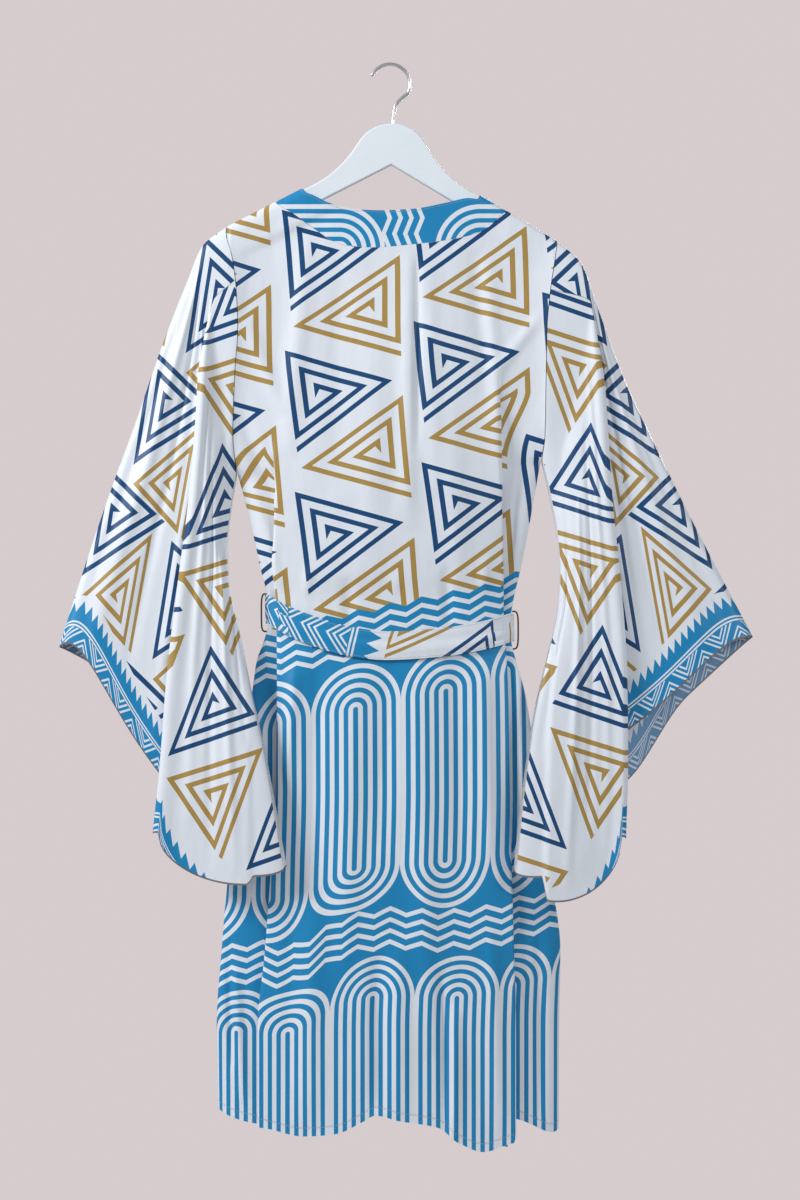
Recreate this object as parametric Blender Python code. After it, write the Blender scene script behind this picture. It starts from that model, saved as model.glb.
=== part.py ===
"""Knee-length kimono robe with bell sleeves, hung by its shoulders on a hanger.

Metres, +Z up. The origin is the inside top of the hanger's hook, where a rail bears.
The back of the robe faces -Y; "left" is the wearer's left, at -X.
Each piece of cloth is a thin wall laid over a grid of points that a function works out.
"""
import math

import bmesh
import bpy
import numpy as np


def table(names, *rows):
    """Named columns from rows of numbers."""
    return {name: np.array(column, float) for name, column in zip(names, zip(*rows))}


# Cloth
WALL = 0.0015
BELT_WALL = 0.002
SEAM_GAP = 0.0003
LAY_GAP = 0.0004
TURN = 0.0022
STEP = 4.0 * TURN
LAYER = 0.0028
BAND_WIDTH = 0.044

# Hanger: its arms slope down from a round hump, and the whole hanger hangs a little tilted
ARM_SLOPE = math.radians(29.0)
HUMP_SLOPE = math.radians(58.0)
HANGER_TILT = math.radians(2.0)
HANGER_CENTRE_X = 0.0024
HANGER_TOP_Z = -0.0696
HANGER_HALF_SPAN = 0.1900
HANGER_THICKNESS = 0.010
HANGER_CLEARANCE = 0.0016
HANGER_EDGE_RADIUS = 0.0042
ARM_DEPTH = 0.0212
HUMP_RADIUS = 0.0468
FLARE_RADIUS = 0.130
ARM_TIP_RADIUS = 0.008
NOTCH_RADIUS = 0.002
CLOTH_LINE_X = 0.138
CLOTH_LINE_Z = -0.1686

# Hook: wire bent to a round bay over a straight shank
WIRE_RADIUS = 0.0021
BAY_RADIUS = 0.0240
BAY_CENTRE = (-0.0012, -0.0219)
BAY_START = math.radians(-26.0)
BAY_END = math.radians(152.0)
SHANK_SINK = 0.018
SHANK_RISE = 0.004
SHANK_CLEARANCE = 0.0003
SHANK_BEND = table(("x", "z"), (0.0030, -0.0600), (0.0052, -0.0480), (0.0128, -0.0385))

# Armholes and shoulders
ARMHOLE_HALF = 0.016
SHOULDER_X = {-1: -0.1974, 1: 0.1996}
UNDERARM_Z = {-1: -0.490, 1: -0.474}
CAP_DEPTH = 0.025
ARM_COVER = 0.0090
ARM_COVER_END = 0.0060
BLEND_POWER = 5.0
ARMHOLE_FADE = 2.5

# Body sections: seam edges, the edges of the two long step folds, how far back and front stand out, and
# how round the section is
BODY = table(
    ("z", "left", "left_fold", "right_fold", "right", "back", "front", "round"),
    (-1.330, -0.2040, -0.1560, 0.1464, 0.2004, 0.040, 0.042, 2.2),
    (-1.150, -0.2088, -0.1560, 0.1462, 0.2012, 0.038, 0.040, 2.2),
    (-1.060, -0.2028, -0.1476, 0.1440, 0.2028, 0.036, 0.038, 2.2),
    (-0.970, -0.1950, -0.1410, 0.1416, 0.1908, 0.034, 0.036, 2.2),
    (-0.860, -0.1812, -0.1340, 0.1392, 0.1752, 0.032, 0.034, 2.2),
    (-0.760, -0.1668, -0.1336, 0.1376, 0.1620, 0.030, 0.032, 2.2),
    (-0.715, -0.1610, -0.1336, 0.1360, 0.1500, 0.028, 0.030, 2.2),
    (-0.690, -0.1520, -0.1340, 0.1340, 0.1440, 0.027, 0.029, 2.2),
    (-0.665, -0.1462, -0.1340, 0.1326, 0.1432, 0.026, 0.028, 2.2),
    (-0.640, -0.1470, -0.1350, 0.1322, 0.1466, 0.026, 0.028, 2.2),
    (-0.610, -0.1545, -0.1366, 0.1320, 0.1536, 0.028, 0.030, 2.2),
    (-0.570, -0.1632, -0.1368, 0.1316, 0.1620, 0.029, 0.031, 2.2),
    (-0.520, -0.1752, -0.1368, 0.1296, 0.1710, 0.029, 0.031, 2.0),
    (-0.480, -0.1852, -0.1372, 0.1276, 0.1780, 0.028, 0.030, 1.7),
    (-0.445, -0.1884, -0.1376, 0.1262, 0.1836, 0.026, 0.028, 1.4),
    (-0.370, -0.1860, -0.1380, 0.1250, 0.1848, 0.021, 0.024, 1.1),
    (-0.315, -0.1824, -0.1380, 0.1290, 0.1860, 0.017, 0.019, 1.0),
    (-0.265, -0.1848, -0.1380, 0.1350, 0.1908, 0.013, 0.014, 1.0),
    (-0.230, -0.1896, -0.1384, 0.1384, 0.1962, 0.0105, 0.011, 1.0),
    (-0.200, -0.1970, -0.1384, 0.1384, 0.1996, 0.0090, 0.009, 1.0),
    (-0.150, -0.1974, -0.1384, 0.1384, 0.1996, 0.0085, 0.0085, 1.0),
)

# The two long step folds of the back: where each opens, over what length, and how much cloth it hides
BACK_FOLDS = {
    -1: {"opens_z": -0.430, "over": 0.10, "hidden": 0.012},
    1: {"opens_z": -0.350, "over": 0.13, "hidden": 0.011},
}
FOLD_FLAT_WIDTH = 0.012

# Hem of the back, by place across it: 0 left seam, 1 to 4 left fold, 4 to 5 middle, 5 to 8 right fold,
# 9 right seam
BACK_HEM = table(
    ("place", "z"),
    (0.00, -1.248), (1.00, -1.266), (4.00, -1.268), (4.17, -1.2768), (4.30, -1.2735), (4.40, -1.260),
    (4.455, -1.2516), (4.55, -1.258), (4.70, -1.266), (4.78, -1.284), (4.88, -1.2955), (5.00, -1.286),
    (6.00, -1.268), (7.00, -1.260), (8.00, -1.2575), (8.70, -1.2768), (9.00, -1.2735),
)
HEM_LEVEL = -1.250
HEM_EASE_LEVEL = -1.000

# Neckline of the back by place across it, and the free edge of the band above it
NECKLINE = table(
    ("place", "seam_z", "edge_x", "edge_z"),
    (4.000, -0.1653, -0.1062, -0.1480),
    (4.003, -0.1657, -0.1058, -0.1486),
    (4.010, -0.1673, -0.1048, -0.1508),
    (4.025, -0.1700, -0.1025, -0.1530),
    (4.070, -0.1775, -0.0940, -0.1560),
    (4.150, -0.1932, -0.0756, -0.1650),
    (4.290, -0.2160, -0.0450, -0.1728),
    (4.420, -0.2192, -0.0144, -0.1745),
    (4.610, -0.2150, 0.0250, -0.1728),
    (4.780, -0.2085, 0.0660, -0.1655),
    (4.905, -0.1980, 0.0930, -0.1600),
    (4.975, -0.1810, 0.1035, -0.1610),
    (4.990, -0.1771, 0.1054, -0.1596),
    (4.997, -0.1745, 0.1064, -0.1573),
    (5.000, -0.1741, 0.1068, -0.1568),
)
NECK_POINT_X = 0.1384
BAND_TOP_WIDTH = 0.0370

# Front edge of the outer front, where the band is sewn on; the inner front is its mirror image
FRONT_EDGE = table(
    ("z", "seam_x"),
    (-1.330, 0.0990), (-1.050, 0.0840), (-0.850, 0.0660), (-0.740, 0.0520), (-0.650, 0.0330),
    (-0.560, 0.0020), (-0.450, -0.0380), (-0.300, -0.0930), (-0.190, -0.1310), (-0.170, -0.1372),
    (-0.160, -0.1384),
)
FRONT_HEM = {
    -1: table(("place", "z"), (0.0, -1.248), (0.45, -1.247), (0.85, -1.250), (0.93, -1.270), (1.0, -1.299)),
    1: table(("place", "z"), (0.0, -1.2735), (0.25, -1.262), (0.55, -1.247), (1.0, -1.244)),
}
BAND_HEM_DROP = {-1: 0.008, 1: -0.002}
OVERLAP_RAMP = 0.034
OVERLAP_LEAD = 0.010

# Sleeves, from armhole (0) to cuff (1): outer edge, tuck and edge of the main fold, inner edge, hidden side
SLEEVE_COLUMNS = (
    "at", "outer_x", "outer_z", "tuck_x", "tuck_z", "fold_x", "fold_z", "inner_x", "inner_z",
    "far_x", "far_z", "outer_y", "inner_y", "half", "wing_bow", "bell_bow",
)
SLEEVES = {
    -1: table(
        SLEEVE_COLUMNS,
        (0.00, -0.1974, -0.1936, -0.187, -0.258, -0.187, -0.258, -0.1860, -0.4900, -0.186, -0.341,
         0.000, 0.000, 0.012, 0.000, 0.000),
        (0.10, -0.2256, -0.2160, -0.211, -0.284, -0.213, -0.284, -0.1908, -0.5268, -0.205, -0.365,
         0.000, -0.002, 0.013, 0.000, 0.000),
        (0.22, -0.2448, -0.2604, -0.217, -0.343, -0.221, -0.341, -0.1956, -0.5748, -0.223, -0.413,
         -0.001, -0.006, 0.014, 0.000, 0.000),
        (0.36, -0.2736, -0.3348, -0.217, -0.431, -0.226, -0.431, -0.1930, -0.6240, -0.238, -0.470,
         -0.003, -0.012, 0.015, 0.000, 0.000),
        (0.50, -0.3024, -0.4188, -0.219, -0.530, -0.234, -0.527, -0.1800, -0.6800, -0.247, -0.540,
         -0.005, -0.020, 0.015, 0.000, 0.000),
        (0.64, -0.3312, -0.4992, -0.227, -0.622, -0.246, -0.623, -0.1660, -0.7480, -0.254, -0.612,
         -0.008, -0.031, 0.014, 0.000, 0.002),
        (0.78, -0.3600, -0.5832, -0.235, -0.722, -0.258, -0.727, -0.1500, -0.8160, -0.256, -0.684,
         -0.010, -0.040, 0.014, 0.006, 0.010),
        (0.90, -0.3816, -0.6504, -0.240, -0.810, -0.266, -0.828, -0.1360, -0.8868, -0.254, -0.748,
         -0.012, -0.046, 0.014, 0.016, 0.024),
        (1.00, -0.3960, -0.6972, -0.244, -0.886, -0.2748, -0.9156, -0.1236, -0.9552, -0.250, -0.800,
         -0.014, -0.048, 0.014, 0.028, 0.040),
    ),
    1: table(
        SLEEVE_COLUMNS,
        (0.00, 0.1996, -0.2111, 0.191, -0.269, 0.191, -0.269, 0.1800, -0.4740, 0.185, -0.341,
         0.000, 0.000, 0.012, 0.000, 0.000),
        (0.10, 0.2268, -0.2362, 0.238, -0.283, 0.240, -0.283, 0.1908, -0.5208, 0.210, -0.383,
         0.000, -0.002, 0.013, 0.000, 0.000),
        (0.22, 0.2472, -0.2892, 0.240, -0.344, 0.2448, -0.343, 0.1980, -0.5592, 0.227, -0.437,
         -0.001, -0.006, 0.014, 0.000, 0.000),
        (0.36, 0.2796, -0.3768, 0.241, -0.431, 0.2508, -0.431, 0.2016, -0.6072, 0.242, -0.497,
         -0.003, -0.012, 0.015, 0.000, 0.000),
        (0.50, 0.3132, -0.4488, 0.242, -0.524, 0.2568, -0.527, 0.1985, -0.6552, 0.253, -0.563,
         -0.005, -0.020, 0.015, 0.000, 0.000),
        (0.64, 0.3492, -0.5244, 0.246, -0.610, 0.2664, -0.623, 0.1840, -0.7128, 0.262, -0.640,
         -0.008, -0.031, 0.014, 0.000, 0.004),
        (0.78, 0.3852, -0.5952, 0.250, -0.690, 0.2736, -0.727, 0.1692, -0.7752, 0.270, -0.715,
         -0.010, -0.040, 0.014, 0.004, 0.012),
        (0.90, 0.4152, -0.6528, 0.251, -0.760, 0.2748, -0.828, 0.1560, -0.8628, 0.269, -0.776,
         -0.012, -0.046, 0.014, 0.009, 0.032),
        (1.00, 0.4320, -0.6852, 0.251, -0.818, 0.2724, -0.9204, 0.1452, -0.9612, 0.268, -0.838,
         -0.014, -0.048, 0.014, 0.014, 0.056),
    ),
}
SLEEVE_FOLD = {"opens": 0.08, "over": 0.22}
# Inner pleat of each sleeve: how far along the bell it lies at its start and at the cuff, and its depth
SLEEVE_PLEAT = {
    -1: {"opens": 0.70, "start": 0.86, "cuff": 0.70, "depth": 0.0020, "lift": 0.3},
    1: {"opens": 0.45, "start": 0.96, "cuff": 0.69, "depth": 0.0060, "lift": 0.6},
}
PLEAT_WIDTH = 0.05
PLEAT_OVER = 0.2
# Shares of the way over the near side at which the main fold starts and ends
FOLD_STARTS, FOLD_ENDS = 0.42, 0.50
FAR_DROP = {-1: 0.0, 1: 0.032}
FAR_DROP_FROM = 0.80
FAR_DROP_EDGE = 0.3
FAR_CORNER = 0.78
FAR_CORNER_WIDTH = 0.22
WING_BOW_SCALE = 12.2
WING_BOW_POWER = 4.0
ARMHOLE_EASE = 0.14
ARMHOLE_GAP = 0.0008
NECK_CORNER_GAP = 0.0005
UNDERARM_GAP = 0.0006
UNDERARM_REACH = 0.020
FLAT_TO_FOLD = 0.90
FLAT_PAST_FOLD = 0.04
BELT_GAP = 0.0020
BELT_CLEAR_OF_EDGE = 0.010
TAIL_SLANT = 0.024
TAIL_PINCH = 0.80
KNOT_SOFTNESS = 0.65

# How finely each piece is divided
LEVELS = (
    -1.250, -1.215, -1.170, -1.120, -1.060, -0.990, -0.920, -0.850, -0.790, -0.745, -0.715, -0.690,
    -0.668, -0.646, -0.622, -0.590, -0.550, -0.515, -0.493, -0.486, -0.477, -0.470, -0.450, -0.415,
    -0.370, -0.330, -0.290,
)
UPPER_SHARES = (0.18, 0.36, 0.54, 0.70, 0.82, 0.92, 1.0)
FRONT_PLACES = (0.0, 0.05, 0.12, 0.22, 0.34, 0.46, 0.58, 0.70, 0.80, 0.90, 1.0)
BAND_ACROSS = (0.0, 0.5, 1.0)
SLEEVE_FOLD_PLACES = (1.0, 1.35, 1.7, 2.0, 3.0, 3.3, 3.65, 4.0)
SLEEVE_DOWN = (0.0, 0.025, 0.06, 0.11, 0.18, 0.27, 0.37, 0.47, 0.57, 0.67, 0.77, 0.86, 0.93, 1.0)
HOOK_ARC_POINTS = 13
HOOK_POINTS = 26

# Belt: height of its middle line across the back and at the front knot
BELT_HEIGHT = 0.034
BELT_BACK = table(
    ("across", "z"),
    (-1.0, -0.652), (-0.85, -0.664), (-0.60, -0.678), (-0.30, -0.690), (0.0, -0.6950), (0.40, -0.6915),
    (0.75, -0.6835), (1.0, -0.674),
)
BELT_FRONT_Z = -0.668
KNOT_X = -0.012
KNOT_SIZE = (0.052, 0.020, 0.046)
TAILS = {
    "belt_tail_long": {"x": -0.030, "lean": -0.030, "length": 0.46, "width": 0.034},
    "belt_tail_short": {"x": 0.010, "lean": 0.040, "length": 0.40, "width": 0.034},
}
LOOP_RADIUS = 0.0010
LOOP_GAP = 0.0013
LOOP_CENTRE_Z = {-1: -0.656, 1: -0.677}
LOOP_HALF_HEIGHT = 0.0225

# Colours and finish
WHITE_CLOTH = (0.68, 0.72, 0.78, 1.0)
TURQUOISE_CLOTH = (0.02, 0.24, 0.50, 1.0)
HANGER_WHITE = (0.80, 0.83, 0.90, 1.0)
CHROME = (0.72, 0.72, 0.74, 1.0)


def smooth(xs, ys, at):
    """A monotone cubic curve through rows of numbers, read at the places given."""
    order = np.argsort(xs)
    xs, ys = xs[order], ys[order]
    run = np.diff(xs)
    slope = np.diff(ys) / run
    tangent = np.zeros(len(xs))
    tangent[0], tangent[-1] = slope[0], slope[-1]
    before, after = slope[:-1], slope[1:]
    steady = before * after > 0.0
    safe_sum = np.where(steady, before + after, 1.0)
    tangent[1:-1] = np.where(steady, 2.0 * before * after / safe_sum, 0.0)
    at = np.clip(np.asarray(at, float), xs[0], xs[-1])
    i = np.clip(np.searchsorted(xs, at, side="right") - 1, 0, len(run) - 1)
    t = (at - xs[i]) / run[i]
    rise = 3.0 * t**2 - 2.0 * t**3
    return (
        ys[i] * (1.0 - rise)
        + ys[i + 1] * rise
        + run[i] * (tangent[i] * (t**3 - 2.0 * t**2 + t) + tangent[i + 1] * (t**3 - t**2))
    )


def ramp(t):
    """0 to 1 with soft ends."""
    t = np.clip(t, 0.0, 1.0)
    return t * t * (3.0 - 2.0 * t)


def tilted(x, z):
    """A point of the upright hanger, turned by the hanger's tilt about the foot of its hook."""
    dx, dz = x - HANGER_CENTRE_X, z - HANGER_TOP_Z
    turn, rise = math.sin(HANGER_TILT), math.cos(HANGER_TILT)
    return HANGER_CENTRE_X + dx * rise + dz * turn, HANGER_TOP_Z - dx * turn + dz * rise


def shoulder_line(x):
    """Height of the cloth's middle where it lies over the hanger's arms."""
    x = np.asarray(x, float)
    height = np.zeros(x.shape)
    for side in (-1, 1):
        near = tilted(HANGER_CENTRE_X + side * CLOTH_LINE_X, CLOTH_LINE_Z)
        far = tilted(HANGER_CENTRE_X + side * (CLOTH_LINE_X + 0.1), CLOTH_LINE_Z - 0.1 * math.tan(ARM_SLOPE))
        slope = (far[1] - near[1]) / (far[0] - near[0])
        height = np.where(side * x >= 0.0, near[1] + (x - near[0]) * slope, height)
    return height


def cap(below_top):
    """Share of the full depth at a distance below the shoulder line: cloth bent over the arm."""
    q = np.clip(below_top / CAP_DEPTH, 0.0, 1.0)
    return np.cbrt(1.0 - (1.0 - q) ** 3)


def armhole_depth(z, side):
    """Half the armhole's opening from back to front, which closes at the shoulder and the underarm."""
    top, bottom = shoulder_line(SHOULDER_X[side]), UNDERARM_Z[side]
    t = np.clip((top - z) / (top - bottom), 0.0, 1.0)
    depth = ARMHOLE_HALF * np.cbrt(np.maximum(1.0 - np.abs(2.0 * t - 1.0) ** 3, 0.0))
    return np.maximum(depth, 0.5 * SEAM_GAP)


def body_edge(z, side):
    return smooth(BODY["z"], BODY["left" if side < 0 else "right"], z)


def body_depth(x, z, face):
    """How far the back or front of the body stands from its middle plane."""
    left, right = body_edge(z, -1), body_edge(z, 1)
    across = np.clip((2.0 * x - left - right) / (right - left), -1.0, 1.0)
    edge = np.where(across < 0.0, armhole_depth(z, -1), armhole_depth(z, 1))
    full = smooth(BODY["z"], BODY[face], z) * cap(shoulder_line(x) - z)
    swell = np.maximum(1.0 - np.abs(across) ** 2.4, 0.0) ** (1.0 / smooth(BODY["z"], BODY["round"], z))
    from_armhole = np.where(x < 0.0, x - SHOULDER_X[-1], SHOULDER_X[1] - x)
    over_arm = ARM_COVER * cap(shoulder_line(x) - z) * ramp(from_armhole / ARM_COVER_END)
    near_arm = ramp(2.5 - (shoulder_line(x) - z) / CAP_DEPTH)
    hung = full * swell + edge * (1.0 - swell) ** ARMHOLE_FADE
    return (hung**BLEND_POWER + (over_arm * near_arm) ** BLEND_POWER) ** (1.0 / BLEND_POWER)


def back_side(place, z, side):
    """x and recess of one side strip of the back with its step fold: place 0 is the seam, 1 to 4 the fold."""
    fold = BACK_FOLDS[side]
    seam_x = body_edge(z, side)
    edge_x = smooth(BODY["z"], BODY["left_fold" if side < 0 else "right_fold"], z)
    opened = ramp((fold["opens_z"] - z) / fold["over"])
    inward = -side
    strip = np.clip(place, 0.0, 1.0)
    spread = strip**1.7
    flat_edge = edge_x - inward * FOLD_FLAT_WIDTH
    flat = np.where(
        place < 1.0,
        seam_x + (flat_edge - seam_x) * spread,
        edge_x - inward * FOLD_FLAT_WIDTH * (4.0 - place) / 3.0,
    )
    first, middle, last = place < 2.0, place < 3.0, np.pi * (place - 3.0)
    turn_in = np.pi * (place - 1.0)
    hidden_x = edge_x + inward * fold["hidden"]
    folded = np.where(
        place < 1.0,
        seam_x + (hidden_x - seam_x) * spread,
        np.where(
            first,
            hidden_x + inward * TURN * np.sin(turn_in),
            np.where(
                middle,
                edge_x + inward * fold["hidden"] * (3.0 - place),
                edge_x - inward * TURN * np.sin(last),
            ),
        ),
    )
    recess = np.where(
        place < 1.0,
        STEP * ramp(strip),
        np.where(
            first,
            TURN * (3.0 + np.cos(turn_in)),
            np.where(middle, 2.0 * TURN, TURN * (1.0 + np.cos(last))),
        ),
    )
    return flat + (folded - flat) * opened, recess * opened


def back_xy(place, z):
    """Back panel at a place across it (0 to 9) and a height."""
    left_x, left_recess = back_side(np.minimum(place, 4.0), z, -1)
    right_x, right_recess = back_side(np.minimum(9.0 - place, 4.0), z, 1)
    middle = np.clip(place - 4.0, 0.0, 1.0)
    x = np.where(place <= 4.0, left_x, np.where(place >= 5.0, right_x, left_x + (right_x - left_x) * middle))
    recess = np.where(place <= 4.0, left_recess, np.where(place >= 5.0, right_recess, 0.0))
    return x, recess - body_depth(x, z, "back")


def back_top(place):
    """Height of the back's upper edge: shoulder seams over the arms and the neckline between them."""
    z = np.full(place.shape, -0.18)
    for _ in range(5):
        z = shoulder_line(back_xy(place, z)[0])
    neck = smooth(NECKLINE["place"], NECKLINE["seam_z"], place)
    return np.where((place > 4.0) & (place < 5.0), neck, z)


def row_height(level, hem):
    """A row's height, which takes up the shape of the hem as it nears it."""
    ease = max(0.0, (HEM_EASE_LEVEL - level) / (HEM_EASE_LEVEL - HEM_LEVEL))
    return level + (hem - HEM_LEVEL) * ease**1.5


def column_heights(hem, top, levels, upper):
    """Heights of a panel's rows: fixed levels, then shares of the way up to its top edge."""
    rows = [row_height(level, hem) for level in levels]
    rows += [levels[-1] + (top - levels[-1]) * (1.0 - (1.0 - share) ** 2) for share in upper]
    return np.array(rows)


def back_grid(places, levels, upper):
    """Middle surface of the back."""
    place = np.asarray(places, float)
    hem = smooth(BACK_HEM["place"], BACK_HEM["z"], place)
    z = column_heights(hem, back_top(place), levels, upper)
    x, y = back_xy(np.broadcast_to(place, z.shape), z)
    return np.stack([x, y, z], axis=-1)


def front_seam_x(z, side):
    """Where the band is sewn to a front; the right arm hangs lower, so its seam does too."""
    drop = shoulder_line(-NECK_POINT_X) - shoulder_line(side * NECK_POINT_X)
    level = z + drop * ramp((z + 0.40) / 0.20)
    return -side * smooth(FRONT_EDGE["z"], FRONT_EDGE["seam_x"], level)


def front_y(x, z, side):
    """Front surface: the left front lies over the right one where they overlap."""
    edge = smooth(FRONT_EDGE["z"], FRONT_EDGE["seam_x"], z) + BAND_WIDTH
    reach = (-side * x + edge + OVERLAP_RAMP + OVERLAP_LEAD) / OVERLAP_RAMP
    crossed = ramp((edge + 0.02) / 0.04)
    return body_depth(x, z, "front") - side * LAYER * ramp(reach) * crossed


def front_grid(side, places, levels, upper):
    """Middle surface of one front, from its side seam (0) to the seam of the band (1)."""
    place = np.asarray(places, float)
    hem = smooth(FRONT_HEM[side]["place"], FRONT_HEM[side]["z"], place)
    shoulder_x = SHOULDER_X[side]
    top = shoulder_line(shoulder_x + (side * NECK_POINT_X - shoulder_x) * place**1.5)
    z = column_heights(hem, top, levels, upper)
    side_x = body_edge(z, side)
    x = side_x + (front_seam_x(z, side) - side_x) * place**1.5
    return np.stack([x, front_y(x, z, side), z], axis=-1)


def arm_direction(side):
    """Unit vector up along one arm of the hanger, in x and z."""
    slope = ARM_SLOPE + side * HANGER_TILT
    return np.array([-side * math.cos(slope), math.sin(slope)])


def band_side(front, side, across):
    """Rows of the band along one front edge, hem to shoulder."""
    seam = front[:, -1]
    x, z = seam[:, 0], seam[:, 2]
    step = 0.004
    run = (front_seam_x(z + step, side) - front_seam_x(z - step, side)) / (2.0 * step)
    out = np.stack([-side * np.ones(len(z)), side * run], axis=-1)
    out /= np.linalg.norm(out, axis=1)[:, None]
    over = ramp(1.0 - (shoulder_line(x) - z) / (2.0 * CAP_DEPTH))[:, None]
    out = out * (1.0 - over) + arm_direction(side) * over
    width = (BAND_WIDTH + (BAND_TOP_WIDTH - BAND_WIDTH) * over)[:, 0]
    hem_drop = BAND_HEM_DROP[side] * ramp((-1.10 - z) / 0.15)
    rows = []
    for share in across:
        reach = SEAM_GAP + width * share
        px = x + out[:, 0] * reach
        pz = z + out[:, 1] * reach - hem_drop * share
        below = np.maximum(shoulder_line(x) - z, 0.0)
        pz = np.minimum(pz, shoulder_line(px) - below * ramp(1.0 - below / CAP_DEPTH))
        rows.append(np.stack([px, front_y(px, pz, side), pz], axis=-1))
    return np.stack(rows, axis=1)


def band_back(back_row, across):
    """Rows of the band along the back neckline, left to right, from the panel's own top edge."""
    edge = np.stack([NECKLINE["edge_x"], NECKLINE["edge_z"]], axis=-1)
    seam = back_row[:, [0, 2]]
    out = edge - seam
    width = np.linalg.norm(out, axis=1)[:, None]
    from_end = np.minimum(np.arange(len(width)), np.arange(len(width))[::-1])[:, None]
    gap = SEAM_GAP + NECK_CORNER_GAP * (from_end < 3)
    rows = []
    for share in across:
        point = seam + out / width * (gap + (width - gap) * share)
        px = point[:, 0]
        on_seam = (np.arange(len(px)) == 0) | (np.arange(len(px)) == len(px) - 1)
        pz = np.where(on_seam, shoulder_line(px), np.minimum(point[:, 1], shoulder_line(px)))
        rows.append(np.stack([px, np.where(on_seam, 0.0, -body_depth(px, pz, "back")), pz], axis=-1))
    return np.stack(rows, axis=1)


def sleeve_grid(side, near, far, down):
    """Middle surface of one sleeve: rows down it, each a ring over the near side and back by the far side."""
    rows = SLEEVES[side]
    v = np.concatenate([[0.0], down])[:, None]

    def row(name):
        return smooth(rows["at"], rows[name], v)

    def spot(name):
        return np.stack([row(name + "_x"), row(name + "_z")], axis=-1)

    outer, tuck, fold, inner, hidden = (spot(n) for n in ("outer", "tuck", "fold", "inner", "far"))
    u = np.asarray(near, float)[None, :]
    wing, bell = np.clip(u, 0.0, 1.0)[..., None], np.clip(u - 4.0, 0.0, 1.0)[..., None]
    pleat = SLEEVE_PLEAT[side]
    past_start = np.clip((v - pleat["opens"]) / (1.0 - pleat["opens"]), 0.0, 1.0)
    pleat_at = pleat["start"] + (pleat["cuff"] - pleat["start"]) * past_start
    pleated = ramp((bell[..., 0] - pleat_at) / PLEAT_WIDTH) * ramp((v - pleat["opens"]) / PLEAT_OVER)

    across_fold = (fold - outer) * (1.0 - FLAT_TO_FOLD) + (inner - fold) * FLAT_PAST_FOLD
    flat = np.where(
        (u < 1.0)[..., None], outer + (fold - outer) * wing * FLAT_TO_FOLD,
        np.where(
            (u > 4.0)[..., None], fold + (inner - fold) * (FLAT_PAST_FOLD + (1.0 - FLAT_PAST_FOLD) * bell),
            outer + (fold - outer) * FLAT_TO_FOLD + across_fold * ((u - 1.0) / 3.0)[..., None],
        ),
    )
    aside = tuck - fold
    aside = aside / np.maximum(np.linalg.norm(aside, axis=-1, keepdims=True), 1e-6)
    turn_in, turn_out = np.pi * (u - 1.0), np.pi * (u - 3.0)
    folded = np.where(
        (u <= 1.0)[..., None], outer + (tuck - outer) * wing,
        np.where(
            (u < 2.0)[..., None], tuck + aside * TURN * np.sin(turn_in)[..., None],
            np.where(
                (u <= 3.0)[..., None], tuck + (fold - tuck) * (u - 2.0)[..., None],
                np.where((u < 4.0)[..., None], fold - aside * TURN * np.sin(turn_out)[..., None],
                         fold + (inner - fold) * bell),
            ),
        ),
    )
    recess = np.where(
        u <= 1.0, STEP * ramp(wing[..., 0]),
        np.where(u < 2.0, TURN * (3.0 + np.cos(turn_in)),
                 np.where(u <= 3.0, 2.0 * TURN, np.where(u < 4.0, TURN * (1.0 + np.cos(turn_out)), 0.0))),
    )
    opened = ramp((v - SLEEVE_FOLD["opens"]) / SLEEVE_FOLD["over"])
    place = flat + (folded - flat) * opened[..., None]
    lean = bell[..., 0] ** 0.8
    bow = (4.0 * lean * (1.0 - lean)) ** 0.6 * (1.0 - pleat["lift"] * pleated)
    rise = WING_BOW_SCALE * wing[..., 0] * (1.0 - wing[..., 0]) ** WING_BOW_POWER
    place[..., 1] += row("wing_bow") * rise - row("bell_bow") * bow
    share = np.interp(u, (0.0, 1.0, 4.0, 5.0), (0.0, FOLD_STARTS, FOLD_ENDS, 1.0))

    back = np.asarray(far, float)[None, :]
    turn = back[..., None]
    bend = 2.0 * hidden - 0.5 * (inner + outer)
    far_place = (1.0 - turn) ** 2 * inner + 2.0 * turn * (1.0 - turn) * bend + turn**2 * outer
    drop = ramp((FAR_CORNER - back) / FAR_CORNER_WIDTH) * ramp(back / FAR_DROP_EDGE)
    far_place[..., 1] -= FAR_DROP[side] * drop * ramp((v - FAR_DROP_FROM) / (1.0 - FAR_DROP_FROM))

    place = np.concatenate([place, far_place], axis=1)
    share = np.broadcast_to(np.concatenate([share, 1.0 - back], axis=1), place.shape[:2])
    facing = np.concatenate([-np.ones(u.shape), np.ones(back.shape)], axis=1)
    recess = recess * opened + pleat["depth"] * pleated
    recess = np.concatenate([recess, np.zeros((len(v), back.shape[1]))], axis=1)

    x, z = place[..., 0], place[..., 1]
    eased = ramp(v / ARMHOLE_EASE)
    gap = ARMHOLE_GAP + UNDERARM_GAP * ramp((UNDERARM_Z[side] + UNDERARM_REACH - z[0]) / UNDERARM_REACH)
    x = x + (body_edge(z[0], side) + side * gap - x[0]) * (1.0 - eased)
    open_edge = (share > 0.0) & (share < 1.0)
    oval = np.cbrt(np.maximum(1.0 - np.abs(2.0 * share - 1.0) ** 3, 0.0)) * row("half")
    depth = np.where(open_edge, armhole_depth(z[0], side) * (1.0 - eased) + oval * eased, 0.0)
    middle = row("outer_y") + (row("inner_y") - row("outer_y")) * share
    return np.stack([x, middle + facing * depth + recess, z], axis=-1)[1:]


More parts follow.
